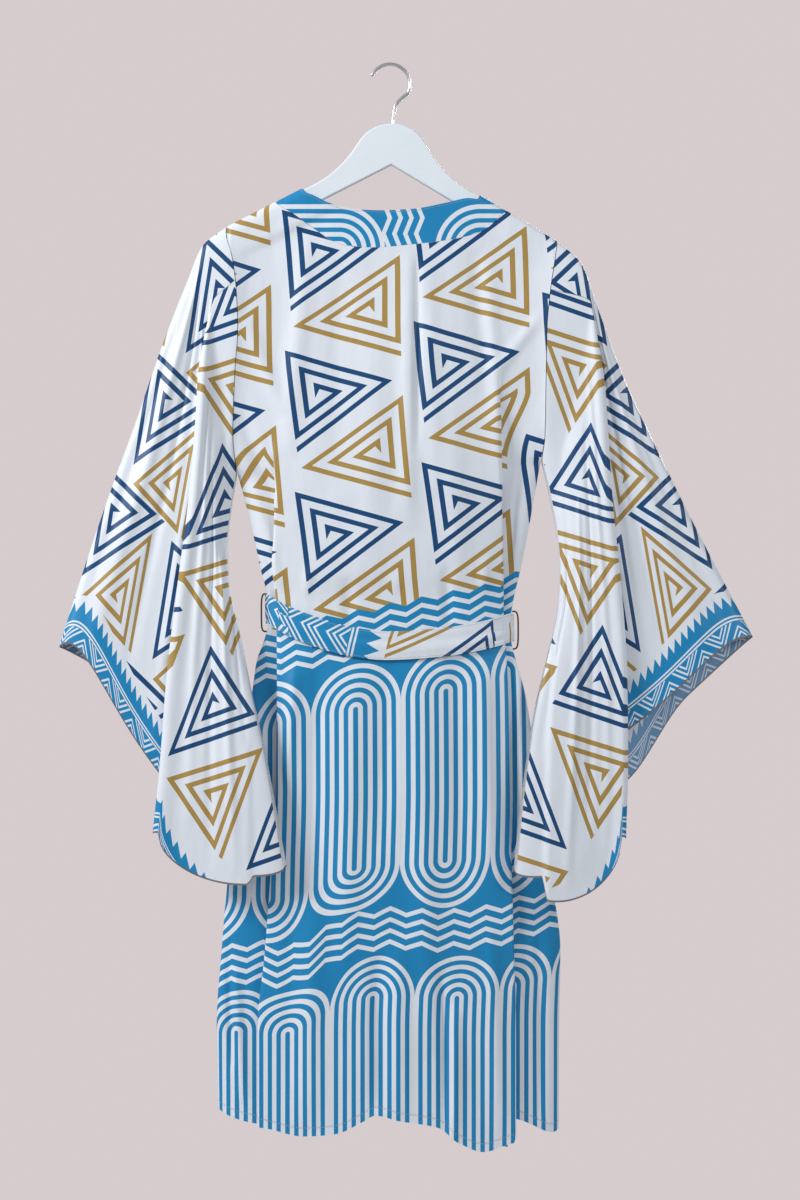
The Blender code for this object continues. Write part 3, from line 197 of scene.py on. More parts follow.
# Sleeves, from armhole (0) to cuff (1): outer edge, tuck and edge of the main fold, inner edge, hidden side
SLEEVE_COLUMNS = (
    "at", "outer_x", "outer_z", "tuck_x", "tuck_z", "fold_x", "fold_z", "inner_x", "inner_z",
    "far_x", "far_z", "outer_y", "inner_y", "half", "wing_bow", "bell_bow",
)
SLEEVES = {
    -1: table(
        SLEEVE_COLUMNS,
        (0.00, -0.1974, -0.1936, -0.187, -0.258, -0.187, -0.258, -0.1860, -0.4900, -0.186, -0.341,
         0.000, 0.000, 0.012, 0.000, 0.000),
        (0.10, -0.2256, -0.2160, -0.211, -0.284, -0.213, -0.284, -0.1908, -0.5268, -0.205, -0.365,
         0.000, -0.002, 0.013, 0.000, 0.000),
        (0.22, -0.2448, -0.2604, -0.217, -0.343, -0.221, -0.341, -0.1956, -0.5748, -0.223, -0.413,
         -0.001, -0.006, 0.014, 0.000, 0.000),
        (0.36, -0.2736, -0.3348, -0.217, -0.431, -0.226, -0.431, -0.1930, -0.6240, -0.238, -0.470,
         -0.003, -0.012, 0.015, 0.000, 0.000),
        (0.50, -0.3024, -0.4188, -0.219, -0.530, -0.234, -0.527, -0.1800, -0.6800, -0.247, -0.540,
         -0.005, -0.020, 0.015, 0.000, 0.000),
        (0.64, -0.3312, -0.4992, -0.227, -0.622, -0.246, -0.623, -0.1660, -0.7480, -0.254, -0.612,
         -0.008, -0.031, 0.014, 0.000, 0.002),
        (0.78, -0.3600, -0.5832, -0.235, -0.722, -0.258, -0.727, -0.1500, -0.8160, -0.256, -0.684,
         -0.010, -0.040, 0.014, 0.006, 0.010),
        (0.90, -0.3816, -0.6504, -0.240, -0.810, -0.266, -0.828, -0.1360, -0.8868, -0.254, -0.748,
         -0.012, -0.046, 0.014, 0.016, 0.024),
        (1.00, -0.3960, -0.6972, -0.244, -0.886, -0.2748, -0.9156, -0.1236, -0.9552, -0.250, -0.800,
         -0.014, -0.048, 0.014, 0.028, 0.040),
    ),
    1: table(
        SLEEVE_COLUMNS,
        (0.00, 0.1996, -0.2111, 0.191, -0.269, 0.191, -0.269, 0.1800, -0.4740, 0.185, -0.341,
         0.000, 0.000, 0.012, 0.000, 0.000),
        (0.10, 0.2268, -0.2362, 0.238, -0.283, 0.240, -0.283, 0.1908, -0.5208, 0.210, -0.383,
         0.000, -0.002, 0.013, 0.000, 0.000),
        (0.22, 0.2472, -0.2892, 0.240, -0.344, 0.2448, -0.343, 0.1980, -0.5592, 0.227, -0.437,
         -0.001, -0.006, 0.014, 0.000, 0.000),
        (0.36, 0.2796, -0.3768, 0.241, -0.431, 0.2508, -0.431, 0.2016, -0.6072, 0.242, -0.497,
         -0.003, -0.012, 0.015, 0.000, 0.000),
        (0.50, 0.3132, -0.4488, 0.242, -0.524, 0.2568, -0.527, 0.1985, -0.6552, 0.253, -0.563,
         -0.005, -0.020, 0.015, 0.000, 0.000),
        (0.64, 0.3492, -0.5244, 0.246, -0.610, 0.2664, -0.623, 0.1840, -0.7128, 0.262, -0.640,
         -0.008, -0.031, 0.014, 0.000, 0.004),
        (0.78, 0.3852, -0.5952, 0.250, -0.690, 0.2736, -0.727, 0.1692, -0.7752, 0.270, -0.715,
         -0.010, -0.040, 0.014, 0.004, 0.012),
        (0.90, 0.4152, -0.6528, 0.251, -0.760, 0.2748, -0.828, 0.1560, -0.8628, 0.269, -0.776,
         -0.012, -0.046, 0.014, 0.009, 0.032),
        (1.00, 0.4320, -0.6852, 0.251, -0.818, 0.2724, -0.9204, 0.1452, -0.9612, 0.268, -0.838,
         -0.014, -0.048, 0.014, 0.014, 0.056),
    ),
}
SLEEVE_FOLD = {"opens": 0.08, "over": 0.22}
# Inner pleat of each sleeve: how far along the bell it lies at its start and at the cuff, and its depth
SLEEVE_PLEAT = {
    -1: {"opens": 0.70, "start": 0.86, "cuff": 0.70, "depth": 0.0020, "lift": 0.3},
    1: {"opens": 0.45, "start": 0.96, "cuff": 0.69, "depth": 0.0060, "lift": 0.6},
}
PLEAT_WIDTH = 0.05
PLEAT_OVER = 0.2
# Shares of the way over the near side at which the main fold starts and ends
FOLD_STARTS, FOLD_ENDS = 0.42, 0.50
FAR_DROP = {-1: 0.0, 1: 0.032}
FAR_DROP_FROM = 0.80
FAR_DROP_EDGE = 0.3
FAR_CORNER = 0.78
FAR_CORNER_WIDTH = 0.22
WING_BOW_SCALE = 12.2
WING_BOW_POWER = 4.0
BELL_LEAN = 0.8
BELL_BOW_POWER = 0.6
ARMHOLE_EASE = 0.14
ARMHOLE_GAP = 0.0008
UNDERARM_GAP = 0.0006
UNDERARM_REACH = 0.020
FLAT_TO_FOLD = 0.90
FLAT_PAST_FOLD = 0.04

# Belt: height of its middle line across the back and at the front knot
BELT_HEIGHT = 0.034
BELT_GAP = 0.0020
BELT_CLEAR_OF_EDGE = 0.010
BELT_BACK = table(
    ("across", "z"),
    (-1.0, -0.652), (-0.85, -0.664), (-0.60, -0.678), (-0.30, -0.690), (0.0, -0.6950), (0.40, -0.6915),
    (0.75, -0.6835), (1.0, -0.674),
)
BELT_FRONT_Z = -0.668
KNOT_X = -0.012
KNOT_SIZE = (0.052, 0.020, 0.046)
KNOT_SOFTNESS = 0.65
KNOT_INNER = 0.90
KNOT_FOLDS = (0.05, 13.0)
WRAP_LEAN = (0.9, 0.35)
WRAP_HALF = 0.46
WRAP_SOFT = 0.10
WRAP_RISE = 0.10
WRAP_FOLDS = (0.03, 16.0)
KNOT_BACK_SHARE = 0.98
KNOT_POLE_SHARE = 0.93
KNOT_RIM = 0.01
TAILS = {
    "belt_end_long": {"x": -0.030, "lean": -0.030, "length": 0.46, "width": 0.034},
    "belt_end_short": {"x": 0.010, "lean": 0.040, "length": 0.40, "width": 0.034},
}
TAIL_SLANT = 0.024
TAIL_SLANT_FROM = 0.7
TAIL_PINCH = 0.80
LOOP_RADIUS = 0.0010
LOOP_GAP = 0.0013
LOOP_CENTRE_Z = {-1: -0.656, 1: -0.677}
LOOP_HALF_HEIGHT = 0.0225
LOOP_LEVELS = 9
THREAD_SQUARENESS = 0.5

# Fineness of the shells
BACK_STRIP_CELLS = 36
FOLD_RUNS = ((1.0, 2.0, 9), (2.0, 3.0, 6), (3.0, 4.0, 9))
BACK_MIDDLE_CELLS = 92
ROW_STEP = 0.0056
UPPER_ROWS = 30
UPPER_LEVEL = -0.290
FRONT_CELLS = 64
BAND_CELLS = 10
BAND_ACROSS = np.linspace(0.0, 1.0, BAND_CELLS + 1)
WING_CELLS = 44
BELL_CELLS = 46
FAR_CELLS = 46
SLEEVE_ROWS = 120
SLEEVE_ROW_POWER = 0.96
BELT_CELLS = 12
BELT_ACROSS = np.linspace(0.0, 1.0, BELT_CELLS + 1)
TAIL_ROWS = 80
TAIL_CELLS = 14
BELT_FRONT_CELLS = 60
BELT_BAND_COLUMNS = 12
KNOT_RINGS = 44
KNOT_SIDES = 64
CORD_POINTS = 60
HOOK_ARC_POINTS = 40
HOOK_POINTS = 80
WIRE_POINTS = 160
CORD_SIDES = 12
WIRE_SIDES = 24
ROD_END_RINGS = 4
ROD_END_SHARE = 0.02
SHARP_ANGLE = math.radians(60.0)

# Cloth of the looks: thinner than the solids' walls
SHELL_WALL = 0.0009
BELT_SHELL_WALL = 0.0016

# Print, in metres on the cloth: rows of motifs rise a little to the right of the back
PRINT_SLOPE = 0.20
SPIRAL_PITCH = 0.0127
SPIRAL_TURNS = 3.0
SPIRAL_HEART = -0.2
SPIRAL_STRETCH = 0.80
LINE_SHARE = 0.42
ZIGZAG_PITCH = 0.0130
ZIGZAG_PERIOD = 0.0379
ZIGZAG_HEIGHT = 0.0077
ZIGZAG_LINES = 4.0
TURQUOISE_TOP = -0.644
LOOP_SHARE = 0.50
LOWER_ZIGZAG_TOP = -1.005

# Cuff border, by distance from the cuff's edge
OVERLOCK_WIDTH = 0.0022
OVERLOCK_STEP = 0.0016
OVERLOCK_LEAN = 0.003
OVERLOCK_SHARE = 0.7
OVERLOCK_RISE = 0.0004
OVERLOCK_TINT = (0.7, 0.3)
HATCH_TOP = 0.0215
HATCH_PERIOD = 0.0560
HATCH_RISE = 0.0300
HATCH_PITCH = 0.0068
HATCH_GROUP = 0.0272
HATCH_SHARE = 0.70
BORDER_LINES = ((0.0225, 0.0247), (0.0268, 0.0290))
BORDER_SOLID_TOP = 0.0400
TOOTH_HEIGHT = 0.0140
TOOTH_WIDTH = 0.0126
DOT_RISE = 0.0065
DOT_RADIUS = 0.0011
WING_MARGIN = 0.0605
BELL_MARGIN = 0.0860
BORDER_RUNS_OFF = -0.010
BORDER_RUN = 0.15
BORDER_SLANT = 0.5

# Stitched hem of the robe, and the seams of the band and the belt
HEM_FOLD = 0.0100
STITCH_LENGTH = 0.0030
STITCH_WIDTH = 0.0007
HEM_STITCH_SHARE = 0.6
HEM_STITCH_TINT = 0.45
HEM_FOLD_RISE = 0.0007
HEM_GROOVE_HALF = 0.0010
HEM_GROOVE_DEPTH = 0.0005
BAND_SEAM = 0.0022
BELT_SEAM = 0.0020
SEAM_STITCH_HALF = 0.0004
SEAM_STITCH_SHARE = 0.65
SEAM_STITCH_TINT = 0.5
SEAM_STITCH_DEPTH = 0.0003

# Colours of the print and the rest, as shown
PALE = (0.800, 0.850, 0.920)
NAVY = (0.005, 0.063, 0.190)
GOLD = (0.430, 0.275, 0.075)
TURQUOISE = (0.010, 0.250, 0.530)
OVERLOCK = (0.190, 0.160, 0.165)
STITCH = (0.420, 0.470, 0.520)
CORD = (0.170, 0.110, 0.050)
PAINT = (0.860, 0.930, 0.990)
STEEL = (0.760, 0.760, 0.780)
BACKDROP = (0.672, 0.604, 0.611)

# Lattices of spirals: a step across and a step up, then each colour's first centre, axis and side
BODY_SPIRALS = {
    "across": (0.152, 0.035),
    "up": (-0.010, 0.169),
    "navy": ((-0.0783, -0.3943), (0.93, 0.19), (-0.12, 1.01)),
    "gold": ((-0.0228, -0.2943), (-0.965, -0.193), (-0.065, 1.01)),
}
WING_SPIRALS = {
    "across": (0.0866, -0.0987),
    "up": (0.0625, 0.1335),
    "navy": ((0.0, 0.0), (-0.471, -0.789), (-0.652, 0.629)),
    "gold": ((0.0037, -0.0985), (0.42, 0.83), (-0.50, 0.56)),
}
BELL_SPIRALS = {
    "across": (0.0923, -0.1337),
    "up": (0.1043, 0.1073),
    "navy": ((0.0, 0.0), (-0.604, -0.645), (-0.495, 0.770)),
    "gold": ((-0.0016, -0.1090), (0.618, 0.645), (-0.538, 0.800)),
}
SPIRAL_MIDDLE = 0.027
# Loops and arches: distance between them, first one, outer radius, middle and half length
LONG_LOOPS = {
    "column": 0.1075, "first": -0.0440, "radius": 0.0537, "pitch": 0.01127, "centre": -0.860, "half": 0.098,
}
ARCHES = {
    "column": 0.1000, "first": -0.0180, "radius": 0.0500, "pitch": 0.01049, "centre": -1.120, "half": 0.0,
}
BAND_LOOPS = {"column": 0.1400, "first": 0.0, "radius": 0.0540, "pitch": 0.0110, "half": 0.098}
# How far the drape lifts the skirt's print, by place across the back
PRINT_LIFT = table(
    ("place", "lift"),
    (-0.30, 0.009), (-0.20, 0.006), (-0.12, -0.0126), (-0.045, 0.010), (-0.018, 0.0104),
    (0.07, -0.008), (0.11, -0.012), (0.214, -0.0193), (0.30, -0.0194),
)
LIFT_FROM_Z = -0.88
LIFT_FULL = 0.12
# Lines of a spiral's corner on the belt: a place on each line, and its direction across
BELT_NAVY_SIDES = ((0.124, 0.016, 0.54, -1.06), (0.124, 0.016, -1.35, -0.12))
BELT_GOLD_SIDES = ((-0.0080, -0.0056, -0.47, 1.27), (-0.0080, -0.0056, 1.40, -0.54))
BELT_GOLD_TAIL = (-0.011, -0.0155, -0.47, 1.27)
BELT_CORNER_LINES = 2.0
BELT_BORDER_START = -0.077
BELT_BORDER_SCALE = 0.84
BELT_BORDER_LEAN = 0.27
BELT_HATCH_SHIFT = 0.029
BELT_BACK_HALF = 0.17
BELT_SPIRAL_SHIFT = -0.37
TAIL_PRINT_START = 0.40
KNOT_PRINT_START = 0.30
# Centre of one navy spiral on each part of a sleeve, and where the bell's print starts
SLEEVE_PRINT = {
    -1: {"bell": (-0.2082, -0.7639), "wing": (-0.2658, -0.4048)},
    1: {"bell": (0.2450, -0.7395), "wing": (0.2790, -0.3965)},
}
BELL_FROM = 2.5
# The front's print and the band's
FRONT_PRINT_SHIFT = 0.20
BAND_ZIGZAG_END = 0.048
BAND_MIDDLE = 0.0228
BAND_NEAR_LOOP = 0.182
BAND_FAR_LOOP = 0.54
BAND_REPEAT = 0.38
BAND_LOOP_AXIS_Z = -0.2215
BAND_PRINT_TURN = 0.12

# Camera, floor and light
FRAME_CENTRE = (0.0108, -0.6408)
FRAME_HEIGHT = 1.44
CAMERA_DISTANCE = 3.0
SENSOR_HEIGHT = 36.0
FLOOR_SIZE = 2.0
FLOOR_Z = -1.75
AMBIENT = (0.92, 0.96, 1.0)
AMBIENT_STRENGTH = 0.30
LIGHT_AIM = (0.0, 0.0, -0.6)
LIGHTS = {
    "left": {"place": (-2.4, -1.3, 0.9), "size": 0.9, "power": 78.0},
    "right": {"place": (2.1, -1.9, 0.7), "size": 0.9, "power": 25.0},
    "front": {"place": (0.9, 2.8, 0.5), "size": 1.4, "power": 60.0},
}

# Creases: each a soft ridge (+) or trough (-) along a line from one place (a, b) to another
CREASE_COLUMNS = ("a0", "b0", "a1", "b1", "width", "depth")
CREASE_END_POWER = 0.6

# Creases of the back and the fronts by x and z, and where they fade
CREASE_STRENGTH = 1.9
CREASE_TOP_EASE = 0.03
BACK_CREASE_EASE = 0.25
FRONT_CREASE_EASE = 0.10
FRONT_CREASE_SHARE = {-1: 1.0, 1: 0.3}
UNDER_BELT_Z = -0.675
UNDER_BELT_HALF = 0.032
UNDER_BELT_SOFT = 0.030
BACK_CREASES = table(
    CREASE_COLUMNS,
    (0.031, -0.205, 0.031, -0.470, 0.0045, -0.0018),
    (0.022, -0.205, 0.020, -0.560, 0.0110, 0.0020),
    (0.044, -0.215, 0.052, -0.520, 0.0110, 0.0014),
    (-0.100, -0.205, -0.122, -0.470, 0.0130, 0.0022),
    (-0.060, -0.225, -0.070, -0.520, 0.0160, -0.0014),
    (-0.016, -0.300, -0.030, -0.640, 0.0180, 0.0012),
    (0.098, -0.215, 0.120, -0.420, 0.0110, -0.0022),
    (0.114, -0.230, 0.132, -0.520, 0.0100, 0.0020),
    (0.070, -0.380, 0.082, -0.640, 0.0150, 0.0014),
    (0.180, -0.300, 0.122, -0.372, 0.0070, 0.0016),
    (-0.176, -0.300, -0.128, -0.420, 0.0090, 0.0018),
    (-0.180, -0.420, -0.140, -0.520, 0.0080, -0.0020),
    (-0.165, -0.500, -0.128, -0.640, 0.0070, 0.0018),
    (0.160, -0.460, 0.140, -0.600, 0.0060, -0.0018),
    (-0.096, -0.600, -0.104, -0.668, 0.0060, 0.0018),
    (-0.052, -0.615, -0.048, -0.680, 0.0080, -0.0016),
    (0.006, -0.610, 0.004, -0.684, 0.0070, 0.0014),
    (0.066, -0.600, 0.070, -0.680, 0.0070, -0.0016),
    (0.112, -0.590, 0.110, -0.672, 0.0060, 0.0016),
    (-0.112, -0.700, -0.124, -0.860, 0.0080, 0.0024),
    (-0.086, -0.706, -0.094, -0.980, 0.0120, -0.0024),
    (-0.044, -0.712, -0.056, -1.100, 0.0150, 0.0022),
    (-0.004, -0.714, -0.012, -0.940, 0.0120, -0.0018),
    (0.034, -0.712, 0.044, -1.180, 0.0160, 0.0024),
    (0.078, -0.708, 0.086, -1.000, 0.0110, -0.0022),
    (0.110, -0.704, 0.118, -0.960, 0.0090, 0.0024),
    (0.060, -1.080, 0.066, -1.278, 0.0060, -0.0034),
    (0.076, -1.120, 0.074, -1.292, 0.0070, 0.0030),
    (-0.016, -1.060, -0.012, -1.248, 0.0100, -0.0036),
    (0.008, -1.040, 0.010, -1.262, 0.0130, 0.0026),
    (-0.090, -1.000, -0.098, -1.266, 0.0150, 0.0026),
    (-0.118, -0.950, -0.122, -1.240, 0.0090, -0.0010),
    (-0.186, -1.080, -0.176, -1.240, 0.0060, 0.0030),
    (-0.196, -1.040, -0.190, -1.200, 0.0050, -0.0022),
    (0.118, -1.020, 0.128, -1.280, 0.0100, 0.0022),
    (0.176, -1.040, 0.178, -1.262, 0.0060, -0.0026),
    (-0.170, -0.720, -0.150, -0.850, 0.0070, 0.0024),
    (0.150, -0.700, 0.158, -0.900, 0.0060, 0.0020),
)
FRONT_CREASES = table(
    CREASE_COLUMNS,
    (-0.140, -0.205, -0.120, -0.560, 0.0150, 0.0026),
    (-0.165, -0.300, -0.110, -0.520, 0.0100, -0.0020),
    (-0.090, -0.380, -0.060, -0.640, 0.0140, 0.0020),
    (-0.120, -0.560, -0.090, -0.650, 0.0080, -0.0024),
    (-0.060, -0.590, -0.050, -0.652, 0.0070, 0.0020),
    (-0.130, -0.700, -0.150, -1.220, 0.0140, 0.0028),
    (-0.090, -0.690, -0.110, -1.050, 0.0120, -0.0026),
    (-0.040, -0.690, -0.060, -1.240, 0.0160, 0.0028),
    (0.010, -0.690, 0.000, -1.000, 0.0110, -0.0022),
    (0.030, -0.720, 0.060, -1.200, 0.0130, 0.0020),
    (-0.165, -0.900, -0.180, -1.230, 0.0080, -0.0026),
)

# Creases of a sleeve's near side, by place across it (0 outer edge, 1 to 4 main fold, 5 inner edge) and down
# it (0 armhole, 1 cuff); those of its far side by place from the inner edge (0) to the outer one (1)
SLEEVE_CREASE_STRENGTH = 1.15
SLEEVE_HEAD_CLEAR = 0.30
FOLD_LIFT = 0.0050
FOLD_LIFT_WIDTH = 0.10
FOLD_PRESS = 0.0020
FOLD_PRESS_WIDTH = 0.12
SLEEVE_CREASES = {
    -1: table(
        CREASE_COLUMNS,
        (0.30, 0.10, 0.22, 0.98, 0.055, 0.0030),
        (0.52, 0.16, 0.48, 0.92, 0.045, -0.0026),
        (0.74, 0.20, 0.76, 0.99, 0.050, 0.0034),
        (0.12, 0.30, 0.10, 0.90, 0.040, -0.0020),
        (4.20, 0.18, 4.22, 0.96, 0.050, 0.0026),
        (4.42, 0.30, 4.40, 0.99, 0.040, -0.0030),
        (4.62, 0.42, 4.60, 0.99, 0.045, 0.0034),
        (4.86, 0.20, 4.80, 0.80, 0.035, -0.0022),
        (4.70, 0.12, 4.30, 0.34, 0.045, 0.0020),
        (4.90, 0.34, 4.50, 0.46, 0.035, -0.0018),
    ),
    1: table(
        CREASE_COLUMNS,
        (0.26, 0.12, 0.30, 0.98, 0.055, 0.0032),
        (0.50, 0.20, 0.54, 0.90, 0.045, -0.0026),
        (0.76, 0.14, 0.74, 0.96, 0.045, 0.0030),
        (0.10, 0.34, 0.12, 0.96, 0.035, -0.0020),
        (4.18, 0.16, 4.16, 0.98, 0.045, 0.0028),
        (4.36, 0.26, 4.34, 0.94, 0.040, -0.0030),
        (4.56, 0.34, 4.52, 0.99, 0.040, 0.0034),
        (4.84, 0.22, 4.86, 0.86, 0.035, -0.0022),
        (4.74, 0.12, 4.34, 0.30, 0.045, 0.0018),
    ),
}
FAR_CREASES = table(
    CREASE_COLUMNS,
    (0.22, 0.20, 0.26, 0.98, 0.060, 0.0030),
    (0.44, 0.26, 0.42, 0.96, 0.050, -0.0028),
    (0.66, 0.18, 0.68, 0.98, 0.060, 0.0034),
    (0.84, 0.36, 0.86, 0.94, 0.045, -0.0020),
)

# Creases of the belt by length round it and share of its height, and the relief of its edges and ends
BELT_CREASES = table(
    CREASE_COLUMNS,
    (-0.14, 0.30, 0.02, 0.62, 0.10, 0.0009),
    (-0.06, 0.72, 0.12, 0.50, 0.09, -0.0007),
    (0.03, 0.20, 0.15, 0.42, 0.08, 0.0008),
    (-0.16, 0.66, -0.08, 0.80, 0.08, -0.0006),
)
BELT_SWELL = 0.0008
TAIL_PLEAT = 0.0009
TAIL_PLEAT_END = 0.25
TAIL_WAVE = 0.0006
TAIL_WAVE_EASE = 0.2
TAIL_WAVE_TURNS = (9.0, 4.0, 60.0)

# Finish of the cloth. A noise is its scale, detail and roughness; a tone or a roughness is the shares of two
# noises and what is added to them
CLOTH_FINISH = {"Roughness": 0.46, "Sheen Weight": 0.06, "Sheen Roughness": 0.45, "Specular IOR Level": 0.34}
WEAVE_SIZE = 0.0011
WEAVE_NOISE = (1.0 / WEAVE_SIZE, 1.0, 0.5)
WEAVE_DEPTH = 0.00004
CRUMPLE_NOISE = (17.0, 3.0, 0.45)
CRUMPLE_STRETCH = 0.35
CRUMPLE_DEPTH = 0.0042
TONE_NOISE = (6.0, 2.0, 0.5)
CLOTH_TONE = (0.10, 0.05, 0.925)
REVERSE_FADE = 0.22

# Finish of the cord (with painted shade in the hollows between its strands), the paint and the wire
CORD_FINISH = {"Roughness": 0.8}
CORD_TWIST = 0.0022
CORD_STRAND_RISE = 0.0006
# Painted shade on the cord: its colour darkens from the ridges of the strands to a dark hollow colour between
# them
CORD_PAINTED_LIGHT_SHARE = 1.2
CORD_HOLLOW_SHADE = tuple(0.45 * part for part in CORD)
PAINT_FINISH = {"Roughness": 0.30, "Coat Weight": 0.3, "Coat Roughness": 0.2}
GRAIN_NOISE = (260.0, 3.0, 0.6)
GRAIN_STRETCH = 0.12
GRAIN_DEPTH = 0.00010
BRUSH_NOISE = (18.0, 2.0, 0.5)
BRUSH_DEPTH = 0.0009
PAINT_TONE = (0.03, 0.05, 0.94)
PAINT_ROUGHNESS = (0.0, 0.12, 0.26)
STEEL_FINISH = {"Roughness": 0.20, "Metallic": 0.85}
DRAWING_NOISE = (4000.0, 2.0, 0.6)
DRAWING_STRETCH = (0.05, 0.004)
DRAWING_DEPTH = 0.00003
DULL_NOISE = (60.0, 2.0, 0.5)
DULL_STRETCH = 0.01
STEEL_TONE = (0.3, 0.0, 0.8)
STEEL_ROUGHNESS = (0.20, 0.10, 0.14)

# Each piece: its node, its material slot and, for a sheet, its flat size, its area and what it rests on
PIECES = {
    "robe_back": ("back_panel", "robe_cloth", (0.50, 1.13), 0.455, ["hanger_body"]),
    "robe_front_left": ("front_left", "robe_cloth", (0.31, 1.13), 0.223, ["hanger_body"]),
    "robe_front_right": ("front_right", "robe_cloth", (0.31, 1.13), 0.223, ["hanger_body"]),
    "robe_band": ("neck_band", "band_cloth", (0.044, 2.55), None, ["hanger_body"]),
    "robe_sleeve_left": ("sleeve_left", "robe_cloth", (0.67, 0.76), 0.226, []),
    "robe_sleeve_right": ("sleeve_right", "robe_cloth", (0.67, 0.76), 0.226, []),
    "tied_belt": ("belt", "band_cloth", (0.034, 0.67), None, ["back_panel"]),
    "belt_knot_cloth": ("belt_knot", "band_cloth"),
    "belt_end_long": ("belt_tail_long", "band_cloth", (0.034, 0.46), None, []),
    "belt_end_short": ("belt_tail_short", "band_cloth", (0.034, 0.40), None, []),
    "thread_loop_left": ("belt_loop_left", "thread"),
    "thread_loop_right": ("belt_loop_right", "thread"),
    "painted_hanger": ("hanger_body", "hanger_paint"),
    "wire_hook": ("hanger_hook", "hook_metal"),
}


def smooth(xs, ys, at):
    """A monotone cubic curve through rows of numbers, read at the places given."""
    order = np.argsort(xs)
    xs, ys = xs[order], ys[order]
    run = np.diff(xs)
    slope = np.diff(ys) / run
    tangent = np.zeros(len(xs))
    tangent[0], tangent[-1] = slope[0], slope[-1]
    before, after = slope[:-1], slope[1:]
    steady = before * after > 0.0
    safe_sum = np.where(steady, before + after, 1.0)
    tangent[1:-1] = np.where(steady, 2.0 * before * after / safe_sum, 0.0)
    at = np.clip(np.asarray(at, float), xs[0], xs[-1])
    i = np.clip(np.searchsorted(xs, at, side="right") - 1, 0, len(run) - 1)
    t = (at - xs[i]) / run[i]
    rise = 3.0 * t**2 - 2.0 * t**3
    return (
        ys[i] * (1.0 - rise)
        + ys[i + 1] * rise
        + run[i] * (tangent[i] * (t**3 - 2.0 * t**2 + t) + tangent[i + 1] * (t**3 - t**2))
    )


def ramp(t):
    """0 to 1 with soft ends."""
    t = np.clip(t, 0.0, 1.0)
    return t * t * (3.0 - 2.0 * t)


def tilted(x, z):
    """A point of the upright hanger, turned by the hanger's tilt about the foot of its hook."""
    dx, dz = x - HANGER_CENTRE_X, z - HANGER_TOP_Z
    turn, rise = math.sin(HANGER_TILT), math.cos(HANGER_TILT)
    return HANGER_CENTRE_X + dx * rise + dz * turn, HANGER_TOP_Z - dx * turn + dz * rise


def shoulder_line(x):
    """Height of the cloth's middle where it lies over the hanger's arms."""
    x = np.asarray(x, float)
    height = np.zeros(x.shape)
    for side in (-1, 1):
        near = tilted(HANGER_CENTRE_X + side * CLOTH_LINE_X, CLOTH_LINE_Z)
        fall = CLOTH_LINE_RUN * math.tan(ARM_SLOPE)
        far = tilted(HANGER_CENTRE_X + side * (CLOTH_LINE_X + CLOTH_LINE_RUN), CLOTH_LINE_Z - fall)
        slope = (far[1] - near[1]) / (far[0] - near[0])
        height = np.where(side * x >= 0.0, near[1] + (x - near[0]) * slope, height)
    return height


def cap(below_top):
    """Share of the full depth at a distance below the shoulder line: cloth bent over the arm."""
    q = np.clip(below_top / CAP_DEPTH, 0.0, 1.0)
    return np.cbrt(1.0 - (1.0 - q) ** 3)


def armhole_depth(z, side):
    """Half the armhole's opening from back to front, which closes at the shoulder and the underarm."""
    top, bottom = shoulder_line(SHOULDER_X[side]), UNDERARM_Z[side]
    t = np.clip((top - z) / (top - bottom), 0.0, 1.0)
    depth = ARMHOLE_HALF * np.cbrt(np.maximum(1.0 - np.abs(2.0 * t - 1.0) ** 3, 0.0))
    return np.maximum(depth, 0.5 * SEAM_GAP)


def body_edge(z, side):
    return smooth(BODY["z"], BODY["left" if side < 0 else "right"], z)


def body_depth(x, z, face):
    """How far the back or front of the body stands from its middle plane."""
    left, right = body_edge(z, -1), body_edge(z, 1)
    across = np.clip((2.0 * x - left - right) / (right - left), -1.0, 1.0)
    edge = np.where(across < 0.0, armhole_depth(z, -1), armhole_depth(z, 1))
    below = shoulder_line(x) - z
    roundness = smooth(BODY["z"], BODY["round"], z)
    swell = np.maximum(1.0 - np.abs(across) ** SWELL_POWER, 0.0) ** (1.0 / roundness)
    from_armhole = np.where(x < 0.0, x - SHOULDER_X[-1], SHOULDER_X[1] - x)
    near_arm = ramp(from_armhole / ARM_COVER_END) * ramp(ARM_COVER_REACH - below / CAP_DEPTH)
    over_arm = ARM_COVER * cap(below) * near_arm
    hung = smooth(BODY["z"], BODY[face], z) * cap(below) * swell + edge * (1.0 - swell) ** ARMHOLE_FADE
    return (hung**BLEND_POWER + over_arm**BLEND_POWER) ** (1.0 / BLEND_POWER)


def back_side(place, z, side):
    """x and recess of one side strip of the back with its step fold: place 0 is the seam, 1 to 4 the fold."""
    fold, inward = BACK_FOLDS[side], -side
    seam_x = body_edge(z, side)
    edge_x = smooth(BODY["z"], BODY["left_fold" if side < 0 else "right_fold"], z)
    hidden_x = edge_x + inward * fold["hidden"]
    flat_edge = edge_x - inward * FOLD_FLAT_WIDTH
    opened = ramp((fold["opens_z"] - z) / fold["over"])
    strip = np.clip(place, 0.0, 1.0)
    turn_in, turn_out = np.pi * (place - 1.0), np.pi * (place - 3.0)
    flat = np.where(place < 1.0, seam_x + (flat_edge - seam_x) * strip**STRIP_POWER,
                    edge_x - inward * FOLD_FLAT_WIDTH * (4.0 - place) / 3.0)
    parts = [place < 1.0, place < 2.0, place < 3.0]
    folded = np.select(parts, [
        seam_x + (hidden_x - seam_x) * strip**STRIP_POWER,
        hidden_x + inward * TURN * np.sin(turn_in),
        edge_x + inward * fold["hidden"] * (3.0 - place),
    ], edge_x - inward * TURN * np.sin(turn_out))
    recess = np.select(parts, [STEP * ramp(strip), TURN * (3.0 + np.cos(turn_in)), 2.0 * TURN],
                       TURN * (1.0 + np.cos(turn_out)))
    return flat + (folded - flat) * opened, recess * opened


